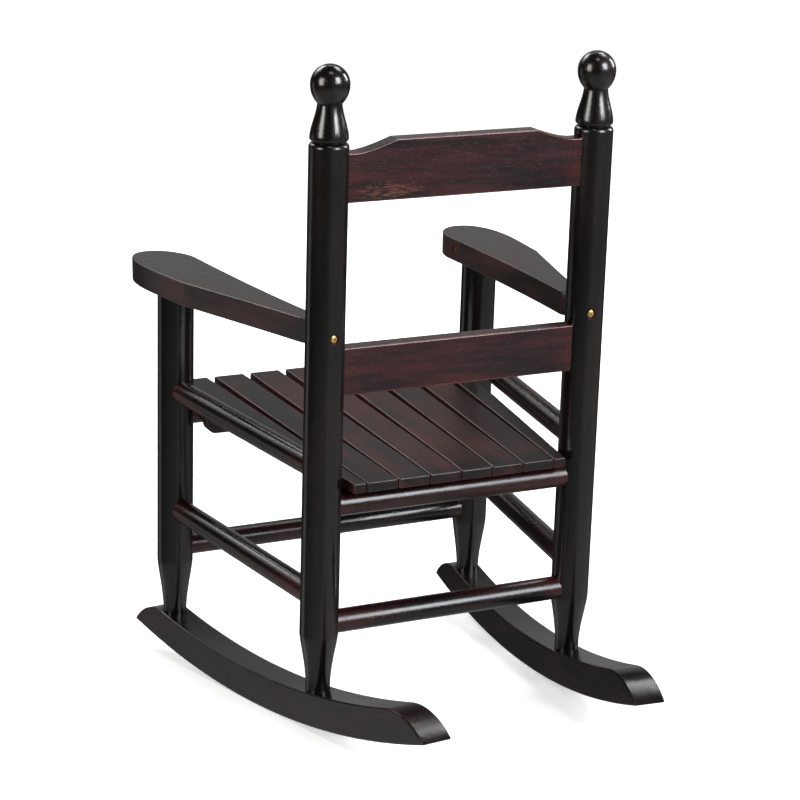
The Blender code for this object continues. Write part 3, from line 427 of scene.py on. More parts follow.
def lacquered_wood(name, stain, roughness, gloss, wear, ends=0.0, mottle=0.5, clouds=1.0, rub=None):
    """Stained wood under a glossy lacquer.

    stain holds the colours where the stain lies thick and thin, and of the bare wood on rubbed edges.
    ends is how far the stain thins towards the joints, and clouds is how uneven it is. rub is the middle
    and the radii of a place where the lacquer is rubbed through in streaks, and how strongly.
    """
    material, tree, shader = new_material(name)
    thick, thin, bare = stain
    wood = attribute(tree, "wood", "Vector")
    patterns = (FIBRES, STREAKS, FIGURE, CLOUDS, PORES)
    fibres, streaks, figure, cloud, pores = (grain_pattern(tree, wood, pattern) for pattern in patterns)
    speckle = noise_of(tree, wood, *SPECKLE)
    pores = ramp(tree, pores, *PORE_REACH)

    low, high, darker, redder = CLOUD_STAIN
    thinness = attribute(tree, "warm")
    for part in (
        ramp(tree, cloud, low, high, darker * clouds, redder * clouds),
        ramp(tree, figure, *FIGURE_STAIN),
        ramp(tree, streaks, *STREAK_STAIN),
        ramp(tree, maths(tree, "ABSOLUTE", attribute(tree, "span")), *JOINT_REACH, 0.0, ends),
    ):
        thinness = maths(tree, "ADD", thinness, part)
    thinness = maths(tree, "ADD", thinness, attribute(tree, "flank"), clamp=True)
    colour = mixed(tree, thinness, thick, thin)
    spots = ramp(tree, speckle, *MIDDLE_REACH, 1 - mottle / 2, 1 + mottle / 2)
    shade = maths(tree, "MULTIPLY", ramp(tree, fibres, *FIBRE_SHADE), spots)
    grey = add_node(tree, "ShaderNodeCombineColor", {0: shade, 1: shade, 2: shade}).outputs[0]
    colour = mixed(tree, 1.0, colour, grey, "MULTIPLY")
    edges = maths(tree, "MULTIPLY", attribute(tree, "worn"), ramp(tree, figure, *WEAR_PATCHES))
    edges = maths(tree, "MULTIPLY", edges, wear)
    if rub:
        middle, radii, strength = rub
        place = ramp(tree, distance_from(tree, wood, middle, radii), *RUB_REACH)
        crowding = maths(tree, "MULTIPLY", place, RUB_CROWDING)
        dashes = maths(tree, "ADD", grain_pattern(tree, wood, DASHES), crowding)
        dashes = maths(tree, "MULTIPLY", ramp(tree, dashes, *DASH_REACH), place)
        edges = maths(tree, "MAXIMUM", edges, maths(tree, "MULTIPLY", dashes, strength))
    colour = mixed(tree, edges, colour, bare)
    dark = tuple(c * PORE_DARKENING for c in thick)
    colour = mixed(tree, maths(tree, "MULTIPLY", pores, PORE_COVER), colour, dark)

    rough = ramp(tree, cloud, *MIDDLE_REACH, *(roughness + spread for spread in SHEEN_SPREAD))
    rough = maths(tree, "ADD", rough, maths(tree, "MULTIPLY", pores, PORE_ROUGHNESS))
    low, high, dull = SPECKLE_ROUGHNESS
    rough = maths(tree, "ADD", rough, ramp(tree, speckle, low, high, 0.0, mottle * dull))
    normal = bump(tree, grain_pattern(tree, wood, WAVES), *WAVE_BUMP)
    normal = bump(tree, noise_of(tree, wood, *PEEL), *PEEL_BUMP, normal)
    normal = bump(tree, fibres, *FIBRE_BUMP, normal)
    normal = bump(tree, maths(tree, "SUBTRACT", speckle, pores), *SPECKLE_BUMP, normal)
    set_inputs(shader, {"Base Color": colour, "Roughness": rough, "Normal": normal})
    set_inputs(shader, {"Specular IOR Level": gloss})
    return material


def raw_wood(name, colour):
    """Bare wood in a bored hole, stained by the lacquer that ran in."""
    material, tree, shader = new_material(name)
    grain = noise_of(tree, add_node(tree, "ShaderNodeTexCoord").outputs["Object"], *RAW_GRAIN)
    dark = tuple(c * RAW_DARKENING for c in colour)
    stained = mixed(tree, ramp(tree, grain, *RAW_GRAIN_REACH), dark, colour)
    normal = bump(tree, grain, *RAW_BUMP)
    set_inputs(shader, {"Base Color": stained, "Roughness": RAW_ROUGHNESS, "Normal": normal})
    return material


def plated_metal(name, colour, roughness):
    """Bright plating with fine scratches and a few dull spots."""
    material, tree, shader = new_material(name)
    place = add_node(tree, "ShaderNodeTexCoord").outputs["Object"]
    spots = noise_of(tree, place, *PLATING_SPOTS)
    scratches = noise_of(tree, stretched(tree, place, SCRATCH_STRETCH), *PLATING_SCRATCHES)
    dull = tuple(c * PLATING_DULLING for c in colour)
    spotted = mixed(tree, ramp(tree, spots, *DULL_REACH), colour, dull)
    rough = ramp(tree, spots, *SHINE_REACH, roughness, roughness + SHINE_SPREAD)
    normal = bump(tree, scratches, *SCRATCH_BUMP)
    set_inputs(shader, {"Base Color": spotted, "Roughness": rough, "Normal": normal, "Metallic": 1.0})
    return material


def make_materials():
    rubbed = (0.24, 0.080, 0.045)
    back_stain = ((0.0050, 0.0022, 0.0030), (0.030, 0.0036, 0.0040), rubbed)
    back = {"roughness": 0.24, "gloss": 0.4, "wear": 0.35, "ends": 0.4, "mottle": 0.35, "clouds": 0.4}
    rub = ((0.008, -0.0075, 0.072), (0.012, 0.010, 0.050), 0.30)
    woods = {
        "post": dict(
            stain=((0.0014, 0.0013, 0.0012), (0.004, 0.0016, 0.0014), (0.02, 0.010, 0.008)),
            roughness=0.18, gloss=0.5, wear=0.2, mottle=0.2),
        "crest": dict(stain=back_stain, rub=rub, **back),
        "rail": dict(stain=back_stain, **back),
        "dowel": dict(
            stain=((0.0022, 0.0015, 0.0015), (0.018, 0.0030, 0.0026), rubbed),
            roughness=0.25, gloss=0.35, wear=0.4, ends=0.5, mottle=0.3),
        "slat": dict(
            stain=((0.0055, 0.0036, 0.0036), (0.034, 0.0075, 0.0062), (0.10, 0.035, 0.022)),
            roughness=0.32, gloss=0.28, wear=0.25, ends=-0.5, mottle=0.8),
        "arm": dict(
            stain=((0.0050, 0.0036, 0.0034), (0.026, 0.0085, 0.0070), (0.05, 0.025, 0.020)),
            roughness=0.32, gloss=0.4, wear=0.3),
        "rocker": dict(
            stain=((0.0026, 0.0018, 0.0015), (0.0085, 0.0032, 0.0025), (0.03, 0.014, 0.011)),
            roughness=0.22, gloss=0.3, wear=0.12, mottle=0.25),
        "batten": dict(
            stain=((0.0040, 0.0030, 0.0030), (0.020, 0.0070, 0.0050), rubbed),
            roughness=0.40, gloss=0.4, wear=0.2),
    }
    finishes = {kind: lacquered_wood(f"{kind} lacquer", **looks) for kind, looks in woods.items()}
    finishes["raw"] = raw_wood("raw wood in a bore", (0.10, 0.030, 0.015))
    finishes["brass"] = plated_metal("brass", (0.62, 0.42, 0.16), 0.26)
    finishes["zinc"] = plated_metal("zinc", (0.50, 0.50, 0.49), 0.32)
    return finishes


# Mesh helpers


def new_object(name, data):
    made = bpy.data.objects.new(name, data)
    bpy.context.scene.collection.objects.link(made)
    return made


def to_mesh(name, shape):
    bmesh.ops.recalc_face_normals(shape, faces=shape.faces)
    mesh = bpy.data.meshes.new(name)
    shape.to_mesh(mesh)
    shape.free()
    return mesh


def lathe(name, profile, sides):
    """(radius, height, wear) points from top to bottom, turned about Z."""
    shape = bmesh.new()
    worn = shape.verts.layers.float.new("worn")
    rings = []
    for radius, height, wear in profile:
        ring = []
        for i in range(sides if radius > 0 else 1):
            angle = 2 * math.pi * i / sides
            ring.append(shape.verts.new((radius * math.cos(angle), radius * math.sin(angle), height)))
            ring[-1][worn] = wear
        rings.append(ring)
    for upper, lower in zip(rings, rings[1:]):
        for i in range(sides):
            j = (i + 1) % sides
            if len(upper) == 1:
                shape.faces.new((upper[0], lower[i], lower[j]))
            elif len(lower) == 1:
                shape.faces.new((upper[i], lower[0], upper[j]))
            else:
                shape.faces.new((upper[i], lower[i], lower[j], upper[j]))
    return to_mesh(name, shape)


def plain_lathe(name, profile, sides):
    return lathe(name, [(radius, height, 0.0) for radius, height in profile], sides)


def cylinder(name, radius, top, bottom, sides):
    return plain_lathe(name, [(0, top), (radius, top), (radius, bottom), (0, bottom)], sides)


def mirrored(right):
    """A whole outline from its right half."""
    return right + [(-x, z) for x, z in reversed(right)]


def close_prism(shape, lower, upper):
    """Faces over two rings of vertices and between them."""
    shape.faces.new(lower)
    shape.faces.new(upper)
    for i in range(len(lower)):
        j = (i + 1) % len(lower)
        shape.faces.new((lower[i], lower[j], upper[j], upper[i]))


def slab(name, outline, thickness, edge, flank_stain=0.0):
    """A flat outline in X and Y, half its thickness on each side, its sharp edges rounded over."""
    shape = bmesh.new()
    worn = shape.verts.layers.float.new("worn")
    flank = shape.verts.layers.float.new("flank")
    lower = [shape.verts.new((x, y, -thickness / 2)) for x, y in outline]
    upper = [shape.verts.new((x, y, thickness / 2)) for x, y in outline]
    close_prism(shape, lower, upper)
    bmesh.ops.recalc_face_normals(shape, faces=shape.faces)
    sharp = [e for e in shape.edges if e.calc_face_angle() > EASED_ANGLE]
    rounding = {"offset": edge, "segments": EDGE_SEGMENTS, "profile": 0.5, "clamp_overlap": True}
    made = bmesh.ops.bevel(shape, geom=sharp, affect="EDGES", **rounding)
    rounded = set(made["faces"])
    for vert in shape.verts:
        faces = vert.link_faces
        vert[worn] = 1.0 if all(face in rounded for face in faces) else 0.0
        on_flank = any(abs(face.normal.x) > FLANK_FACING for face in faces)
        vert[flank] = flank_stain if on_flank else 0.0
    return to_mesh(name, shape)


def combined(mesh, cutter, operation, material=None):
    """mesh after a Boolean with a cutter mesh, whose cut faces get the cutter's material."""
    body, tool = new_object("body", mesh), new_object("tool", cutter)
    modifier = body.modifiers.new("cut", "BOOLEAN")
    modifier.operation = operation
    modifier.solver = "EXACT"
    modifier.object = tool
    if material:
        cutter.materials.append(material)
        modifier.material_mode = "TRANSFER"
    bpy.context.view_layer.update()
    result = bpy.data.meshes.new_from_object(body.evaluated_get(bpy.context.evaluated_depsgraph_get()))
    for helper in (body, tool):
        bpy.data.objects.remove(helper, do_unlink=True)
    return result


def grain_coordinates(mesh, grain, seed, half_span, warm):
    """Stores where in the wood each point lies, with Z along the grain, and the piece's warmth."""
    mesh.attributes.new("wood", "FLOAT_VECTOR", "POINT")
    for attribute_name in ("span", "warm", "worn", "flank"):
        if attribute_name not in mesh.attributes:
            mesh.attributes.new(attribute_name, "FLOAT", "POINT")
    wood, span, warmth = (mesh.attributes[name] for name in ("wood", "span", "warm"))
    middle, half = half_span
    for vert in mesh.vertices:
        ordered = [vert.co[axis] for axis in GRAIN_ORDER[grain]]
        wood.data[vert.index].vector = [c + seed * s for c, s in zip(ordered, GRAIN_SHIFT)]
        span.data[vert.index].value = (ordered[2] - middle) / half
        warmth.data[vert.index].value = warm


def add_piece(name, mesh, matrix):
    """One visible piece in place of the solid of the same name."""
    mesh.shade_smooth()
    mesh.set_sharp_from_angle(angle=SHARP_ANGLE)
    mesh.transform(matrix)
    piece = new_object(f"{name}_fine", mesh)
    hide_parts(name)
    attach(piece, "root")
    return piece


def add_wood(name, mesh, material, matrix, grain="Z", span=WHOLE_SPAN, warm=WARMTH, seed=None):
    """A wooden piece. Each is numbered, and its number or a given seed sets where its grain starts."""
    number = next(piece_numbers)
    grain_coordinates(mesh, grain, number if seed is None else seed, span, warm)
    if mesh.materials:
        mesh.materials[0] = material
    else:
        mesh.materials.append(material)
    piece = add_piece(name, mesh, matrix)
    weighted = piece.modifiers.new("Even shading", "WEIGHTED_NORMAL")
    weighted.keep_sharp = True


# Rockers


def post_meets_rocker(post_back, arc_radius):
    """Height at which a post's axis, (post_back) behind the rocking point, meets a rocker arc."""
    sine, cosine = math.sin(LEAN), math.cos(LEAN)
    along = 1 / math.cos(TOE) ** 2
    above = ROCKER_RADIUS + post_back * sine
    a = along * sine**2 + cosine**2
    b = 2 * along * post_back * cosine * sine - 2 * above * cosine
    c = along * (post_back * cosine) ** 2 + above**2 - arc_radius**2
    return (-b - math.sqrt(b * b - 4 * a * c)) / (2 * a)


def arc_point(radius, angle):
    """A point of an arc about the rocker's centre, as (distance behind the rocking point, height)."""
    return radius * math.sin(angle), ROCKER_RADIUS - radius * math.cos(angle)


def nose_points(tip, direction):
    """The convex end of a rocker, from its sharp toe up to where it meets the top arc."""
    centre_radius = ROCKER_RADIUS - ROCKER_DEPTH + ROCKER_NOSE_RADIUS
    squares = ROCKER_RADIUS**2 + centre_radius**2 - ROCKER_NOSE_RADIUS**2
    spread = math.acos(squares / (2 * ROCKER_RADIUS * centre_radius))
    centre_angle = tip - direction * spread
    cx, cz = arc_point(centre_radius, centre_angle)
    tx, tz = arc_point(ROCKER_RADIUS, tip)
    start = math.atan2(tz - cz, tx - cx)
    ex, ez = arc_point(ROCKER_RADIUS - ROCKER_DEPTH, centre_angle)
    end = math.atan2(ez - cz, ex - cx)
    points = []
    for i in range(1, NOSE_STEPS):
        angle = start + (end - start) * i / NOSE_STEPS
        x, z = ROCKER_NOSE_RADIUS * math.cos(angle), ROCKER_NOSE_RADIUS * math.sin(angle)
        points.append((cx + x, cz + z))
    return points, centre_angle


def arc(radius, start, end):
    steps = range(ROCKER_STEPS + 1)
    return [arc_point(radius, start + (end - start) * i / ROCKER_STEPS) for i in steps]


def rocker_outline():
    """The rocker seen from its side, round from the front toe along the bottom and back on top."""
    rear = math.asin(ROCKER_REAR_REACH / ROCKER_RADIUS)
    front = -math.asin(ROCKER_FRONT_REACH / ROCKER_RADIUS)
    rear_nose, rear_top = nose_points(rear, 1)
    front_nose, front_top = nose_points(front, -1)
    top = arc(ROCKER_RADIUS - ROCKER_DEPTH, rear_top, front_top)
    return arc(ROCKER_RADIUS, front, rear) + rear_nose + top + front_nose[::-1]


def make_rockers(materials):
    middle = post_meets_rocker(REAR_POST_BACK, ROCKER_RADIUS - ROCKER_DEPTH / 2)
    foot_back = REAR_POST_BACK * math.cos(LEAN) + middle * math.sin(LEAN)
    offset = REAR_POST_X + foot_back * math.tan(TOE)
    for side, sign in SIDES.items():
        mesh = slab("rocker", rocker_outline(), ROCKER_THICKNESS, ROCKER_EDGE)
        facing = turn(math.pi / 2, 0, math.pi / 2 + sign * TOE)
        matrix = FLOOR_FRAME @ shift(sign * offset, 0, 0) @ facing
        for back in (REAR_POST_BACK, FRONT_POST_BACK):
            mesh = bore_for_rocker_screw(mesh, matrix, side, back, materials)
        add_wood(f"rocker_{side}", mesh, materials["rocker"], matrix, "X")


def bore_for_rocker_screw(mesh, matrix, side, back, materials):
    """The countersunk hole under a post, from below."""
    x = SIDES[side] * (REAR_POST_X if back == REAR_POST_BACK else FRONT_POST_X)
    start = post_meets_rocker(back, ROCKER_RADIUS) + ROCKER_SCREW_SINK
    radius, top = FRAME_SCREW_HEAD_RADIUS + FIT, start + FRAME_SCREW_HEAD
    bore = cylinder("bore", radius, top, start - CUTTER_REACH, BORE_SIDES)
    bore.transform(matrix.inverted() @ LEANING_FRAME @ shift(x, back, 0))
    return combined(mesh, bore, "DIFFERENCE", materials["raw"])


# Posts


def foot_profile(taper_height, taper_length, end_height):
    """The tapered foot of a post, as (radius, height, wear), down to the end of its tenon."""
    points = []
    for i in range(TAPER_POINTS + 1):
        t = i / TAPER_POINTS
        drop = TAPER_SWELL * (1 - math.cos(math.pi * t**TAPER_EASE)) / 2 + (1 - TAPER_SWELL) * t
        radius = POST_RADIUS - (POST_RADIUS - FOOT_RADIUS) * drop
        points.append((radius, taper_height - taper_length * t, TAPER_WEAR if i == 0 else 0.0))
    points.append((FOOT_RADIUS, end_height, 0.0))
    points.append((0, end_height, 0.0))
    return points


def finial_profile():
    """The ball, the bell-shaped neck and the rounded shoulder on top of a rear post."""
    points = [(0, BALL_LEVEL + BALL_RADIUS, 0.0)]
    for i in range(1, BALL_TOP_POINTS + 1):
        angle = math.pi / 2 * i / BALL_TOP_POINTS
        points.append((BALL_RADIUS * math.sin(angle), BALL_LEVEL + BALL_RADIUS * math.cos(angle), 0.0))
    last = math.acos(NECK_RADIUS / BALL_RADIUS)
    for i in range(1, BALL_UNDER_POINTS + 1):
        angle = last * i / BALL_UNDER_POINTS
        points.append((BALL_RADIUS * math.cos(angle), BALL_LEVEL - BALL_DROP * math.sin(angle), 0.0))
    for i in range(BELL_POINTS + 1):
        t = i / BELL_POINTS
        swell = t + NECK_SWELL * ((1 - math.cos(math.pi * t)) / 2 - t)
        radius = NECK_RADIUS + (BELL_RADIUS - NECK_RADIUS) * swell
        points.append((radius, NECK_LEVEL - NECK_LENGTH * t, 0.0))
    groove_radius = POST_RADIUS - SHOULDER_ROUND
    groove_level = SHOULDER_LEVEL + GROOVE_WIDTH
    underside = BELL_LEVEL - BELL_LIP - groove_level
    for i in range(1, SHOULDER_POINTS + 1):
        angle = math.pi / 2 * i / SHOULDER_POINTS
        radius = groove_radius + (BELL_RADIUS - groove_radius) * math.cos(angle)
        points.append((radius, BELL_LEVEL - BELL_LIP - underside * math.sin(angle), 0.0))
    for i in range(SHOULDER_POINTS + 1):
        angle = math.pi / 2 * i / SHOULDER_POINTS
        radius = groove_radius + SHOULDER_ROUND * math.sin(angle)
        points.append((radius, SHOULDER_LEVEL - SHOULDER_ROUND * (1 - math.cos(angle)), 0.0))
    return points


def foot_end(post_back):
    return post_meets_rocker(post_back, ROCKER_RADIUS - ROCKER_DEPTH) - FOOT_TENON


def front_shoulder_height():
    underside = ARM_THICKNESS / 2 / math.cos(ARM_SLOPE)
    return ARM_AXIS_HEIGHT - POST_DISTANCE * math.tan(ARM_SLOPE) - underside + POST_SINK


def arm_axis(side):
    """The frame at the arm's middle on the rear post's axis, with -Y along the arm."""
    sign = SIDES[side]
    place = shift(sign * REAR_POST_X, REAR_POST_BACK, ARM_AXIS_HEIGHT)
    return LEANING_FRAME @ place @ turn(ARM_SLOPE, 0, sign * TOE)


def counterbore():
    """A cutter for an arm screw's counterbore, down from a surface at the origin."""
    depth = ARM_SCREW_SINK + ARM_SCREW_HEAD
    return cylinder("counterbore", ARM_COUNTERBORE_RADIUS, CUTTER_REACH, -depth, BORE_SIDES)


def make_posts(materials):
    for side, sign in SIDES.items():
        matrix = LEANING_FRAME @ shift(sign * REAR_POST_X, REAR_POST_BACK, 0)
        foot = foot_profile(REAR_TAPER_HEIGHT, REAR_TAPER_LENGTH, foot_end(REAR_POST_BACK))
        mesh = lathe("rear post", finial_profile() + foot, POST_SIDES)
        bore = counterbore()
        bore.transform(
            matrix.inverted() @ arm_axis(side) @ shift(0, POST_RADIUS, 0) @ turn(-math.pi / 2, 0, 0)
        )
        mesh = combined(mesh, bore, "DIFFERENCE", materials["raw"])
        add_wood(f"rear_post_{side}", mesh, materials["post"], matrix)
        shoulder = front_shoulder_height()
        top, tenon = shoulder + POST_TENON_LENGTH, POST_TENON_RADIUS
        profile = [(0, top, 0.0), (tenon, top, 0.0), (tenon, shoulder, 0.0), (POST_RADIUS, shoulder, 0.0)]
        profile += foot_profile(FRONT_TAPER_HEIGHT, FRONT_TAPER_LENGTH, foot_end(FRONT_POST_BACK))
        matrix = LEANING_FRAME @ shift(sign * FRONT_POST_X, FRONT_POST_BACK, 0)
        mesh = lathe("front post", profile, POST_SIDES)
        add_wood(f"front_post_{side}", mesh, materials["post"], matrix)


# Dowels and back rails


def add_dowel(name, start, end, materials, warm):
    inset = POST_RADIUS - DOWEL_EMBED
    distance = (end - start).length
    half = distance / 2 - inset
    mesh = cylinder(name, DOWEL_RADIUS, half, -half, DOWEL_SIDES)
    middle = (start + end) / 2
    facing = (end - start).to_track_quat("Z", "Y").to_matrix().to_4x4()
    matrix = LEANING_FRAME @ Matrix.Translation(middle) @ facing
    visible = distance / 2 - POST_RADIUS
    add_wood(name, mesh, materials["dowel"], matrix, "Z", (0.0, visible), warm)


def make_dowels(materials):
    heights = {"side_seat_rail": SIDE_RAIL_HEIGHT, "side_stretcher": SIDE_STRETCHER_HEIGHT}
    for side, sign in SIDES.items():
        for name, height in heights.items():
            start = Vector((sign * REAR_POST_X, REAR_POST_BACK, height))
            end = Vector((sign * FRONT_POST_X, FRONT_POST_BACK, height))
            add_dowel(f"{name}_{side}", start, end, materials, SIDE_DOWEL_WARMTH)
    for name, x, back, height in (
        ("rear_seat_rail", REAR_POST_X, REAR_POST_BACK, REAR_SEAT_RAIL_HEIGHT),
        ("front_seat_rail", FRONT_POST_X, FRONT_POST_BACK, FRONT_SEAT_RAIL_HEIGHT),
        ("rear_stretcher", REAR_POST_X, REAR_POST_BACK, REAR_STRETCHER_HEIGHT),
        ("front_stretcher", FRONT_POST_X, FRONT_POST_BACK, FRONT_STRETCHER_HEIGHT),
    ):
        start, end = Vector((-x, back, height)), Vector((x, back, height))
        add_dowel(name, start, end, materials, CROSS_DOWEL_WARMTH)


def crest_outline(half_length):
    """A flat top that drops in a cove to narrower ends."""
    end_top = CREST_BOTTOM_HEIGHT + CREST_END_WIDTH
    right = []
    for i in range(CREST_COVE_POINTS + 1):
        t = i / CREST_COVE_POINTS
        drop = (1 - t) ** CREST_COVE_POWER
        right.append((CREST_FLAT_HALF + CREST_COVE * t, end_top + CREST_RISE * drop))
    right += [(half_length, end_top), (half_length, CREST_BOTTOM_HEIGHT)]
    return mirrored(right)


def lower_rail_outline(half_length):
    bottom, top = LOWER_RAIL_BOTTOM_HEIGHT, LOWER_RAIL_BOTTOM_HEIGHT + LOWER_RAIL_WIDTH
    return mirrored([(half_length, top), (half_length, bottom)])


def make_back_rails(materials):
    half_length = REAR_POST_X - POST_RADIUS + RAIL_EMBED
    visible = REAR_POST_X - POST_RADIUS
    for name, outline, bottom, material in (
        ("crest_rail", crest_outline(half_length), CREST_BOTTOM_HEIGHT, "crest"),
        ("lower_back_rail", lower_rail_outline(half_length), LOWER_RAIL_BOTTOM_HEIGHT, "rail"),
    ):
        lowered = [(x, z - bottom) for x, z in outline]
        mesh = slab(name, lowered, RAIL_THICKNESS, RAIL_EDGE)
        matrix = LEANING_FRAME @ shift(0, REAR_POST_BACK, bottom) @ turn(math.pi / 2, 0, 0)
        finish, span = materials[material], (0.0, visible)
        add_wood(name, mesh, finish, matrix, "X", span, RAIL_WARMTH, seed=0)


# Seat


def seat_ends():
    """The Y of the slats' rear and front ends, in the leaning frame."""
    return REAR_POST_BACK + SLAT_REAR_OVERHANG, FRONT_POST_BACK - SLAT_FRONT_OVERHANG


def seat_half_width(y):
    """Half the seat's width, which clears the rear and the front posts."""
    rear = REAR_POST_X - POST_RADIUS - SEAT_REAR_GAP
    front = FRONT_POST_X - POST_RADIUS - SEAT_FRONT_GAP
    return rear + (front - rear) * (REAR_POST_BACK - y) / POST_SPACING


def slat_edges():
    """For each slat of one side, from the middle out, its inner and outer edge at rear and front."""
    rear_y, front_y = seat_ends()
    rear_half, front_half = seat_half_width(rear_y), seat_half_width(front_y)
    inner_slats = SLATS_A_SIDE - 1
    rear_pitch = (rear_half - OUTER_SLAT_REAR_WIDTH - SLAT_REAR_SPACE / 2) / inner_slats
    front_room = (front_half - OUTER_SLAT_FRONT_WIDTH) / inner_slats
    width = min(rear_pitch, front_room) - SLAT_REAR_SPACE
    front_pitch = (front_half - OUTER_SLAT_FRONT_WIDTH + width / 2) / (inner_slats + 0.5)
    slats = []
    for i in range(inner_slats):
        middles = ((i + 0.5) * rear_pitch, (i + 0.5) * front_pitch)
        slats.append(tuple((middle - width / 2, middle + width / 2) for middle in middles))
    rear_edges = (rear_half - OUTER_SLAT_REAR_WIDTH, rear_half)
    front_edges = (front_half - OUTER_SLAT_FRONT_WIDTH, front_half)
    return slats + [(rear_edges, front_edges)]


def slats_in_order():
    """Every slat from the sitter's left to the right, as its side's sign and its edges."""
    edges = slat_edges()
    return [(1, slat) for slat in reversed(edges)] + [(-1, slat) for slat in edges]


def slat_centre(slat, y):
    """Middle of a slat at a given Y."""
    rear_y, front_y = seat_ends()
    (rear_inner, rear_outer), (front_inner, front_outer) = slat
    t = (rear_y - y) / (rear_y - front_y)
    return ((rear_inner + rear_outer) * (1 - t) + (front_inner + front_outer) * t) / 2


def make_slats(materials):
    rear_y, front_y = seat_ends()
    stretch = 1 / math.cos(SEAT_SLOPE)
    rear_end = (rear_y - REAR_POST_BACK) * stretch
    front_end = (front_y - REAR_POST_BACK) * stretch
    middle, half = (rear_end + front_end) / 2, (rear_end - front_end) / 2
    lift = shift(0, REAR_POST_BACK, SEAT_UNDER_REAR + SLAT_THICKNESS / 2)
    matrix = LEANING_FRAME @ lift @ turn(-SEAT_SLOPE, 0, 0)
    for number, (sign, slat) in enumerate(slats_in_order(), start=1):
        (rear_inner, rear_outer), (front_inner, front_outer) = slat
        rear = [(sign * x, rear_end) for x in (rear_inner, rear_outer)]
        front = [(sign * x, front_end) for x in (front_outer, front_inner)]
        mesh = slab(f"seat slat {number}", rear + front, SLAT_THICKNESS, SLAT_EDGE, 1.0)
        warm = SLAT_WARMTH[number - 1]
        name = f"seat_slat_{number}"
        add_wood(name, mesh, materials["slat"], matrix, "Y", (middle, half), warm)


def seat_underside(y):
    return SEAT_UNDER_REAR + (REAR_POST_BACK - y) * math.tan(SEAT_SLOPE)


def batten_place(row):
    """The Y of a batten's middle, and the height of its top, just under the slats."""
    away = DOWEL_RADIUS + FIT + BATTEN_THICKNESS / 2
    y = REAR_POST_BACK - away if row == "rear" else FRONT_POST_BACK + away
    edges = (y - BATTEN_THICKNESS / 2, y + BATTEN_THICKNESS / 2)
    return y, min(seat_underside(edge) for edge in edges) - FIT


def make_battens(materials):
    for row in ("rear", "front"):
        y, top = batten_place(row)
        inside = REAR_POST_X + (REAR_POST_BACK - y) * math.tan(TOE) - DOWEL_RADIUS / math.cos(TOE)
        half_length = inside - BATTEN_END_GAP
        outline = [(half_length, BATTEN_WIDTH / 2)]
        x, z = half_length - BATTEN_CORNER, BATTEN_CORNER - BATTEN_WIDTH / 2
        for i in range(BATTEN_CORNER_POINTS + 1):
            angle = -math.pi / 2 * i / BATTEN_CORNER_POINTS
            outline.append((x + BATTEN_CORNER * math.cos(angle), z + BATTEN_CORNER * math.sin(angle)))
        mesh = slab("batten", mirrored(outline), BATTEN_THICKNESS, BATTEN_EDGE)
        matrix = LEANING_FRAME @ shift(0, y, top - BATTEN_WIDTH / 2) @ turn(math.pi / 2, 0, 0)
        name = f"seat_batten_{row}"
        add_wood(name, mesh, materials["batten"], matrix, "X")


# Armrests


def arm_outline():
    """The left arm seen from above: X outwards and -Y forwards from the rear post's axis."""
    start = POST_RADIUS - ARM_NIB_EMBED
    inner_end = ARM_TIP - ARM_TIP_INNER
    outer_end = ARM_TIP - ARM_TIP_OUTER
    flare_end = min(ARM_START + ARM_FLARE_LENGTH, outer_end - ARM_EDGE)
    inner = [(-ARM_NECK_INNER, -start)]
    outer = [(ARM_NECK_OUTER, -start)]
    for i in range(ARM_SIDE_POINTS):
        t = i / (ARM_SIDE_POINTS - 1)
        width = ARM_NECK_INNER + (ARM_INNER_WIDTH - ARM_NECK_INNER) * t**ARM_INNER_POWER
        inner.append((-width, -(ARM_START + (inner_end - ARM_START) * t)))
        width = ARM_NECK_OUTER + (ARM_OUTER_WIDTH - ARM_NECK_OUTER) * t**ARM_OUTER_POWER
        outer.append((width, -(ARM_START + (flare_end - ARM_START) * t)))
    tip = []
    for i in range(1, ARM_TIP_POINTS + 1):
        angle = math.pi / 2 * i / ARM_TIP_POINTS
        tip.append((-ARM_INNER_WIDTH * math.cos(angle), -(inner_end + ARM_TIP_INNER * math.sin(angle))))
    power = 2 / ARM_TIP_OUTER_POWER
    for i in range(1, ARM_TIP_POINTS + 1):
        angle = math.pi / 2 * (1 - i / ARM_TIP_POINTS)
        x = ARM_OUTER_WIDTH * math.cos(angle) ** power
        tip.append((x, -(outer_end + ARM_TIP_OUTER * math.sin(angle) ** power)))
    return inner + tip + list(reversed(outer))


def arm_inner_width(distance):
    """The arm's inner half width at a distance in front of the rear post's axis."""
    t = (distance - ARM_START) / (ARM_TIP - ARM_TIP_INNER - ARM_START)
    return ARM_NECK_INNER + (ARM_INNER_WIDTH - ARM_NECK_INNER) * min(t, 1.0) ** ARM_INNER_POWER


def front_screw_place(sign, depth):
    """Where the screw in the arm's inner edge starts, a depth below that edge."""
    x = -sign * (arm_inner_width(POST_DISTANCE) - depth)
    return shift(x, -POST_DISTANCE, 0) @ turn(0, -sign * math.pi / 2, 0)


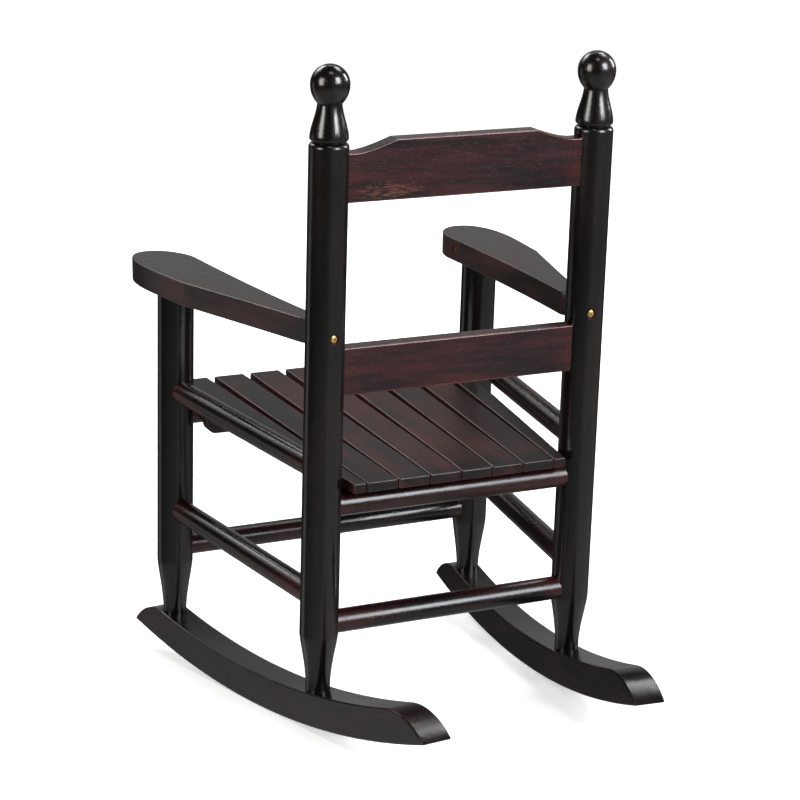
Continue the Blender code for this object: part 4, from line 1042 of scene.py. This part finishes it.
def make_arms(materials):
    nib_start = POST_RADIUS - ARM_NIB_EMBED - FIT
    nib_end = ARM_TIP + CUTTER_REACH
    for side, sign in SIDES.items():
        outline = [(sign * x, y) for x, y in arm_outline()]
        mesh = slab("armrest", outline, ARM_THICKNESS, ARM_EDGE)
        wide = ARM_NIB_RADIUS + (nib_end - ARM_START) * ARM_NIB_TAPER
        narrow = ARM_NIB_RADIUS - (ARM_START - nib_start) * ARM_NIB_TAPER
        cone = [(0, -nib_start), (narrow, -nib_start), (wide, -nib_end), (0, -nib_end)]
        nib = plain_lathe("nib", cone, ARM_NIB_SIDES)
        nib.transform(turn(-math.pi / 2, 0, 0))
        mesh = combined(mesh, nib, "INTERSECT")
        bore = counterbore()
        bore.transform(front_screw_place(sign, 0.0))
        mesh = combined(mesh, bore, "DIFFERENCE", materials["raw"])
        add_wood(f"armrest_{side}", mesh, materials["arm"], arm_axis(side), "Y")


# Screws


def screw_mesh(head_radius, head, shank_radius, length):
    """A countersunk wood screw with a cross recess, its head's face at the origin, pointing down."""
    profile = [
        (0, 0),
        (head_radius * SCREW_CROWN_RADIUS, -SCREW_DOME * SCREW_CROWN_DROP),
        (head_radius - SCREW_DOME, -SCREW_DOME),
        (head_radius, -2 * SCREW_DOME),
        (head_radius - SCREW_DOME, -3 * SCREW_DOME),
        (shank_radius, -head),
        (shank_radius, -length + SCREW_POINT),
        (0, -length),
    ]
    mesh = plain_lathe("screw", profile, SCREW_SIDES)
    reach, half = head_radius * RECESS_REACH, head_radius * RECESS_WIDTH / 2
    quarter = [(half, half), (half, reach), (-half, reach)]
    cross = []
    for i in range(4):
        cosine, sine = math.cos(i * math.pi / 2), math.sin(i * math.pi / 2)
        cross += [(x * cosine - y * sine, x * sine + y * cosine) for x, y in quarter]
    shape = bmesh.new()
    top = [shape.verts.new((x, y, head)) for x, y in cross]
    depth = -head * RECESS_DEPTH
    bottom = [shape.verts.new((x * RECESS_TAPER, y * RECESS_TAPER, depth)) for x, y in cross]
    close_prism(shape, bottom, top)
    return combined(mesh, to_mesh("recess", shape), "DIFFERENCE")


def add_screw(name, sizes, material, matrix):
    """A screw with its head's radius, its head's height, its shank's radius and its length as sizes."""
    mesh = screw_mesh(*sizes)
    mesh.materials.clear()
    mesh.materials.append(material)
    add_piece(name, mesh, matrix)


def make_arm_screws(material):
    """The brass screws: one through each rear post into the arm, and one in each arm's inner edge."""
    sizes = (ARM_SCREW_HEAD_RADIUS, ARM_SCREW_HEAD, ARM_SCREW_SHANK_RADIUS)
    for side, sign in SIDES.items():
        sunk = shift(0, POST_RADIUS - ARM_SCREW_SINK, 0) @ turn(-math.pi / 2, 0, 0)
        place = arm_axis(side) @ sunk @ turn(0, 0, REAR_SCREW_TURN * sign)
        rear_sizes = (*sizes, ARM_REAR_SCREW_LENGTH)
        add_screw(f"arm_rear_screw_{side}", rear_sizes, material, place)
        start = front_screw_place(sign, ARM_SCREW_SINK)
        place = arm_axis(side) @ start @ turn(0, 0, FRONT_SCREW_TURN)
        front_sizes = (*sizes, ARM_FRONT_SCREW_LENGTH)
        add_screw(f"arm_front_screw_{side}", front_sizes, material, place)


def make_frame_screws(material):
    """The plated screws through the rockers, and through the battens into the slats and rails."""
    sizes = (FRAME_SCREW_HEAD_RADIUS, FRAME_SCREW_HEAD, FRAME_SCREW_SHANK_RADIUS)
    posts = {"rear": (REAR_POST_X, REAR_POST_BACK), "front": (FRONT_POST_X, FRONT_POST_BACK)}
    rails = {"rear": REAR_SEAT_RAIL_HEIGHT, "front": FRONT_SEAT_RAIL_HEIGHT}
    edges = slat_edges()
    upward = turn(math.pi, 0, 0)
    for row, (x, back) in posts.items():
        start = post_meets_rocker(back, ROCKER_RADIUS) + ROCKER_SCREW_SINK
        length = foot_end(back) + ROCKER_SCREW_BITE - start
        for side, sign in SIDES.items():
            place = LEANING_FRAME @ shift(sign * x, back, start) @ upward
            add_screw(f"rocker_screw_{row}_{side}", (*sizes, length), material, place)
        y, top = batten_place(row)
        start = top - BATTEN_WIDTH + SLAT_SCREW_SINK
        length = top + FIT + SLAT_SCREW_BITE - start
        for number, (sign, slat) in enumerate(slats_in_order(), start=1):
            place = LEANING_FRAME @ shift(sign * slat_centre(slat, y), y, start) @ upward
            add_screw(f"slat_screw_{row}_{number}", (*sizes, length), material, place)
        towards = 1 if row == "rear" else -1
        length = BATTEN_THICKNESS - BATTEN_SCREW_SINK + BATTEN_SCREW_BITE
        between = (slat_centre(edges[-3], y) + slat_centre(edges[-2], y)) / 2
        for side, sign in SIDES.items():
            face = y - towards * (BATTEN_THICKNESS / 2 - BATTEN_SCREW_SINK)
            place = LEANING_FRAME @ shift(sign * between, face, rails[row])
            place = place @ turn(towards * math.pi / 2, 0, 0)
            add_screw(f"batten_screw_{row}_{side}", (*sizes, length), material, place)


# Surroundings


def camera_axes():
    """The camera's right, up and backward directions."""
    az, el, roll = CAMERA_AZIMUTH, CAMERA_ELEVATION, CAMERA_ROLL
    right = Vector((math.cos(az), math.sin(az), 0))
    back = Vector((math.sin(az) * math.cos(el), -math.cos(az) * math.cos(el), math.sin(el)))
    up = back.cross(right)
    rolled = right * math.cos(roll) + up * math.sin(roll)
    up = up * math.cos(roll) - right * math.sin(roll)
    tilt = Matrix.Rotation(-LEAN, 3, "X")
    return tilt @ rolled, tilt @ up, tilt @ back


def make_camera():
    data = bpy.data.cameras.new("camera")
    data.lens = CAMERA_LENS
    data.sensor_width = SENSOR_WIDTH
    data.clip_end = CAMERA_REACH
    camera = new_object("camera", data)
    right, up, back = camera_axes()
    axes = Matrix((right, up, back)).transposed().to_4x4()
    camera.matrix_world = Matrix.Translation(CAMERA_PLACE) @ axes
    bpy.context.scene.camera = camera


def from_camera(direction):
    """The world's direction for one given by the camera's right, up and backward."""
    return sum((axis * part for axis, part in zip(camera_axes(), direction)), Vector())


def make_lights():
    for name, (direction, distance, size, power, colour) in LAMPS.items():
        towards = from_camera(direction).normalized()
        data = bpy.data.lights.new(name, "AREA")
        data.shape = "RECTANGLE"
        data.size, data.size_y = size
        data.energy = power
        data.color = colour
        lamp = new_object(name, data)
        lamp.visible_camera = False
        aimed = towards.to_track_quat("Z", "Y").to_matrix().to_4x4()
        lamp.matrix_world = Matrix.Translation(LAMP_AIM + towards * distance) @ aimed


def dot_with(tree, vector, direction):
    inputs = {0: vector, 1: tuple(direction)}
    return add_node(tree, "ShaderNodeVectorMath", inputs, operation="DOT_PRODUCT").outputs["Value"]


def panel_glow(tree, facing, azimuths, heights, edge, level):
    """A soft-edged panel between two azimuths and two heights.

    Azimuths run from the camera's bearing towards the picture's left, and heights are sines.
    """
    inside = 1.0
    for azimuth in (azimuths[0] + 90, azimuths[1] - 90):
        bearing = CAMERA_AZIMUTH - math.radians(azimuth)
        dot = dot_with(tree, facing, (math.sin(bearing), -math.cos(bearing), 0.0))
        inside = maths(tree, "MULTIPLY", ramp(tree, dot, 0.0, edge), inside)
    height = add_node(tree, "ShaderNodeSeparateXYZ", {0: facing}).outputs["Z"]
    for low, high in ((heights[0], heights[0] + edge), (heights[1], heights[1] - edge)):
        inside = maths(tree, "MULTIPLY", ramp(tree, height, low, high), inside)
    return maths(tree, "MULTIPLY", inside, level)


def make_room():
    """A dim room with a pale floor, a paler right side and back wall, and a reflector on the left.

    The camera itself sees it plain white.
    """
    world = bpy.data.worlds.new("studio")
    world.use_nodes = True
    tree = world.node_tree
    facing = add_node(tree, "ShaderNodeTexCoord").outputs["Generated"]
    below = dot_with(tree, facing, (0.0, 0.0, -1.0))
    level = ramp(tree, below, *ROOM_FLOOR_REACH, ROOM_DIM, ROOM_DIM + ROOM_FLOOR)
    direction, reach, brightness = ROOM_RIGHT
    right = ramp(tree, dot_with(tree, facing, from_camera(direction)), *reach, 0.0, brightness)
    level = maths(tree, "ADD", level, right)
    for panel in ROOM_PANELS:
        level = maths(tree, "ADD", level, panel_glow(tree, facing, *panel))
    seen = add_node(tree, "ShaderNodeLightPath").outputs["Is Camera Ray"]
    level = maths(tree, "MAXIMUM", level, seen)
    set_inputs(tree.nodes["Background"], {"Color": (*WHITE, 1.0), "Strength": level})
    bpy.context.scene.world = world


def make_floor():
    """A white floor, which only the camera and soft light see."""
    shape = bmesh.new()
    bmesh.ops.create_grid(shape, x_segments=1, y_segments=1, size=FLOOR_REACH)
    floor = new_object("floor", to_mesh("floor", shape))
    material, tree, shader = new_material("pale floor")
    place = add_node(tree, "ShaderNodeTexCoord").outputs["Object"]
    mottle = ramp(tree, noise_of(tree, place, *FLOOR_NOISE), *MIDDLE_REACH)
    colour = mixed(tree, mottle, *FLOOR_COLOURS)
    set_inputs(shader, {"Base Color": colour, "Roughness": FLOOR_ROUGHNESS, "Specular IOR Level": 0.0})
    away = add_node(tree, "ShaderNodeVectorMath", {0: place}, operation="LENGTH").outputs["Value"]
    glow = ramp(tree, away, *FLOOR_GLOW_REACH, *FLOOR_GLOW)
    set_inputs(shader, {"Emission Color": (*WHITE, 1.0), "Emission Strength": glow})
    floor.data.materials.append(material)
    floor.visible_glossy = False


make_camera()
materials = make_materials()
frame_parts = (make_rockers, make_posts, make_dowels)
for make_part in (*frame_parts, make_back_rails, make_slats, make_battens, make_arms):
    make_part(materials)
make_arm_screws(materials["brass"])
make_frame_screws(materials["zinc"])
make_lights()
make_room()
make_floor()
bpy.context.scene.view_settings.view_transform = "Standard"
bpy.context.scene.view_settings.look = "None"
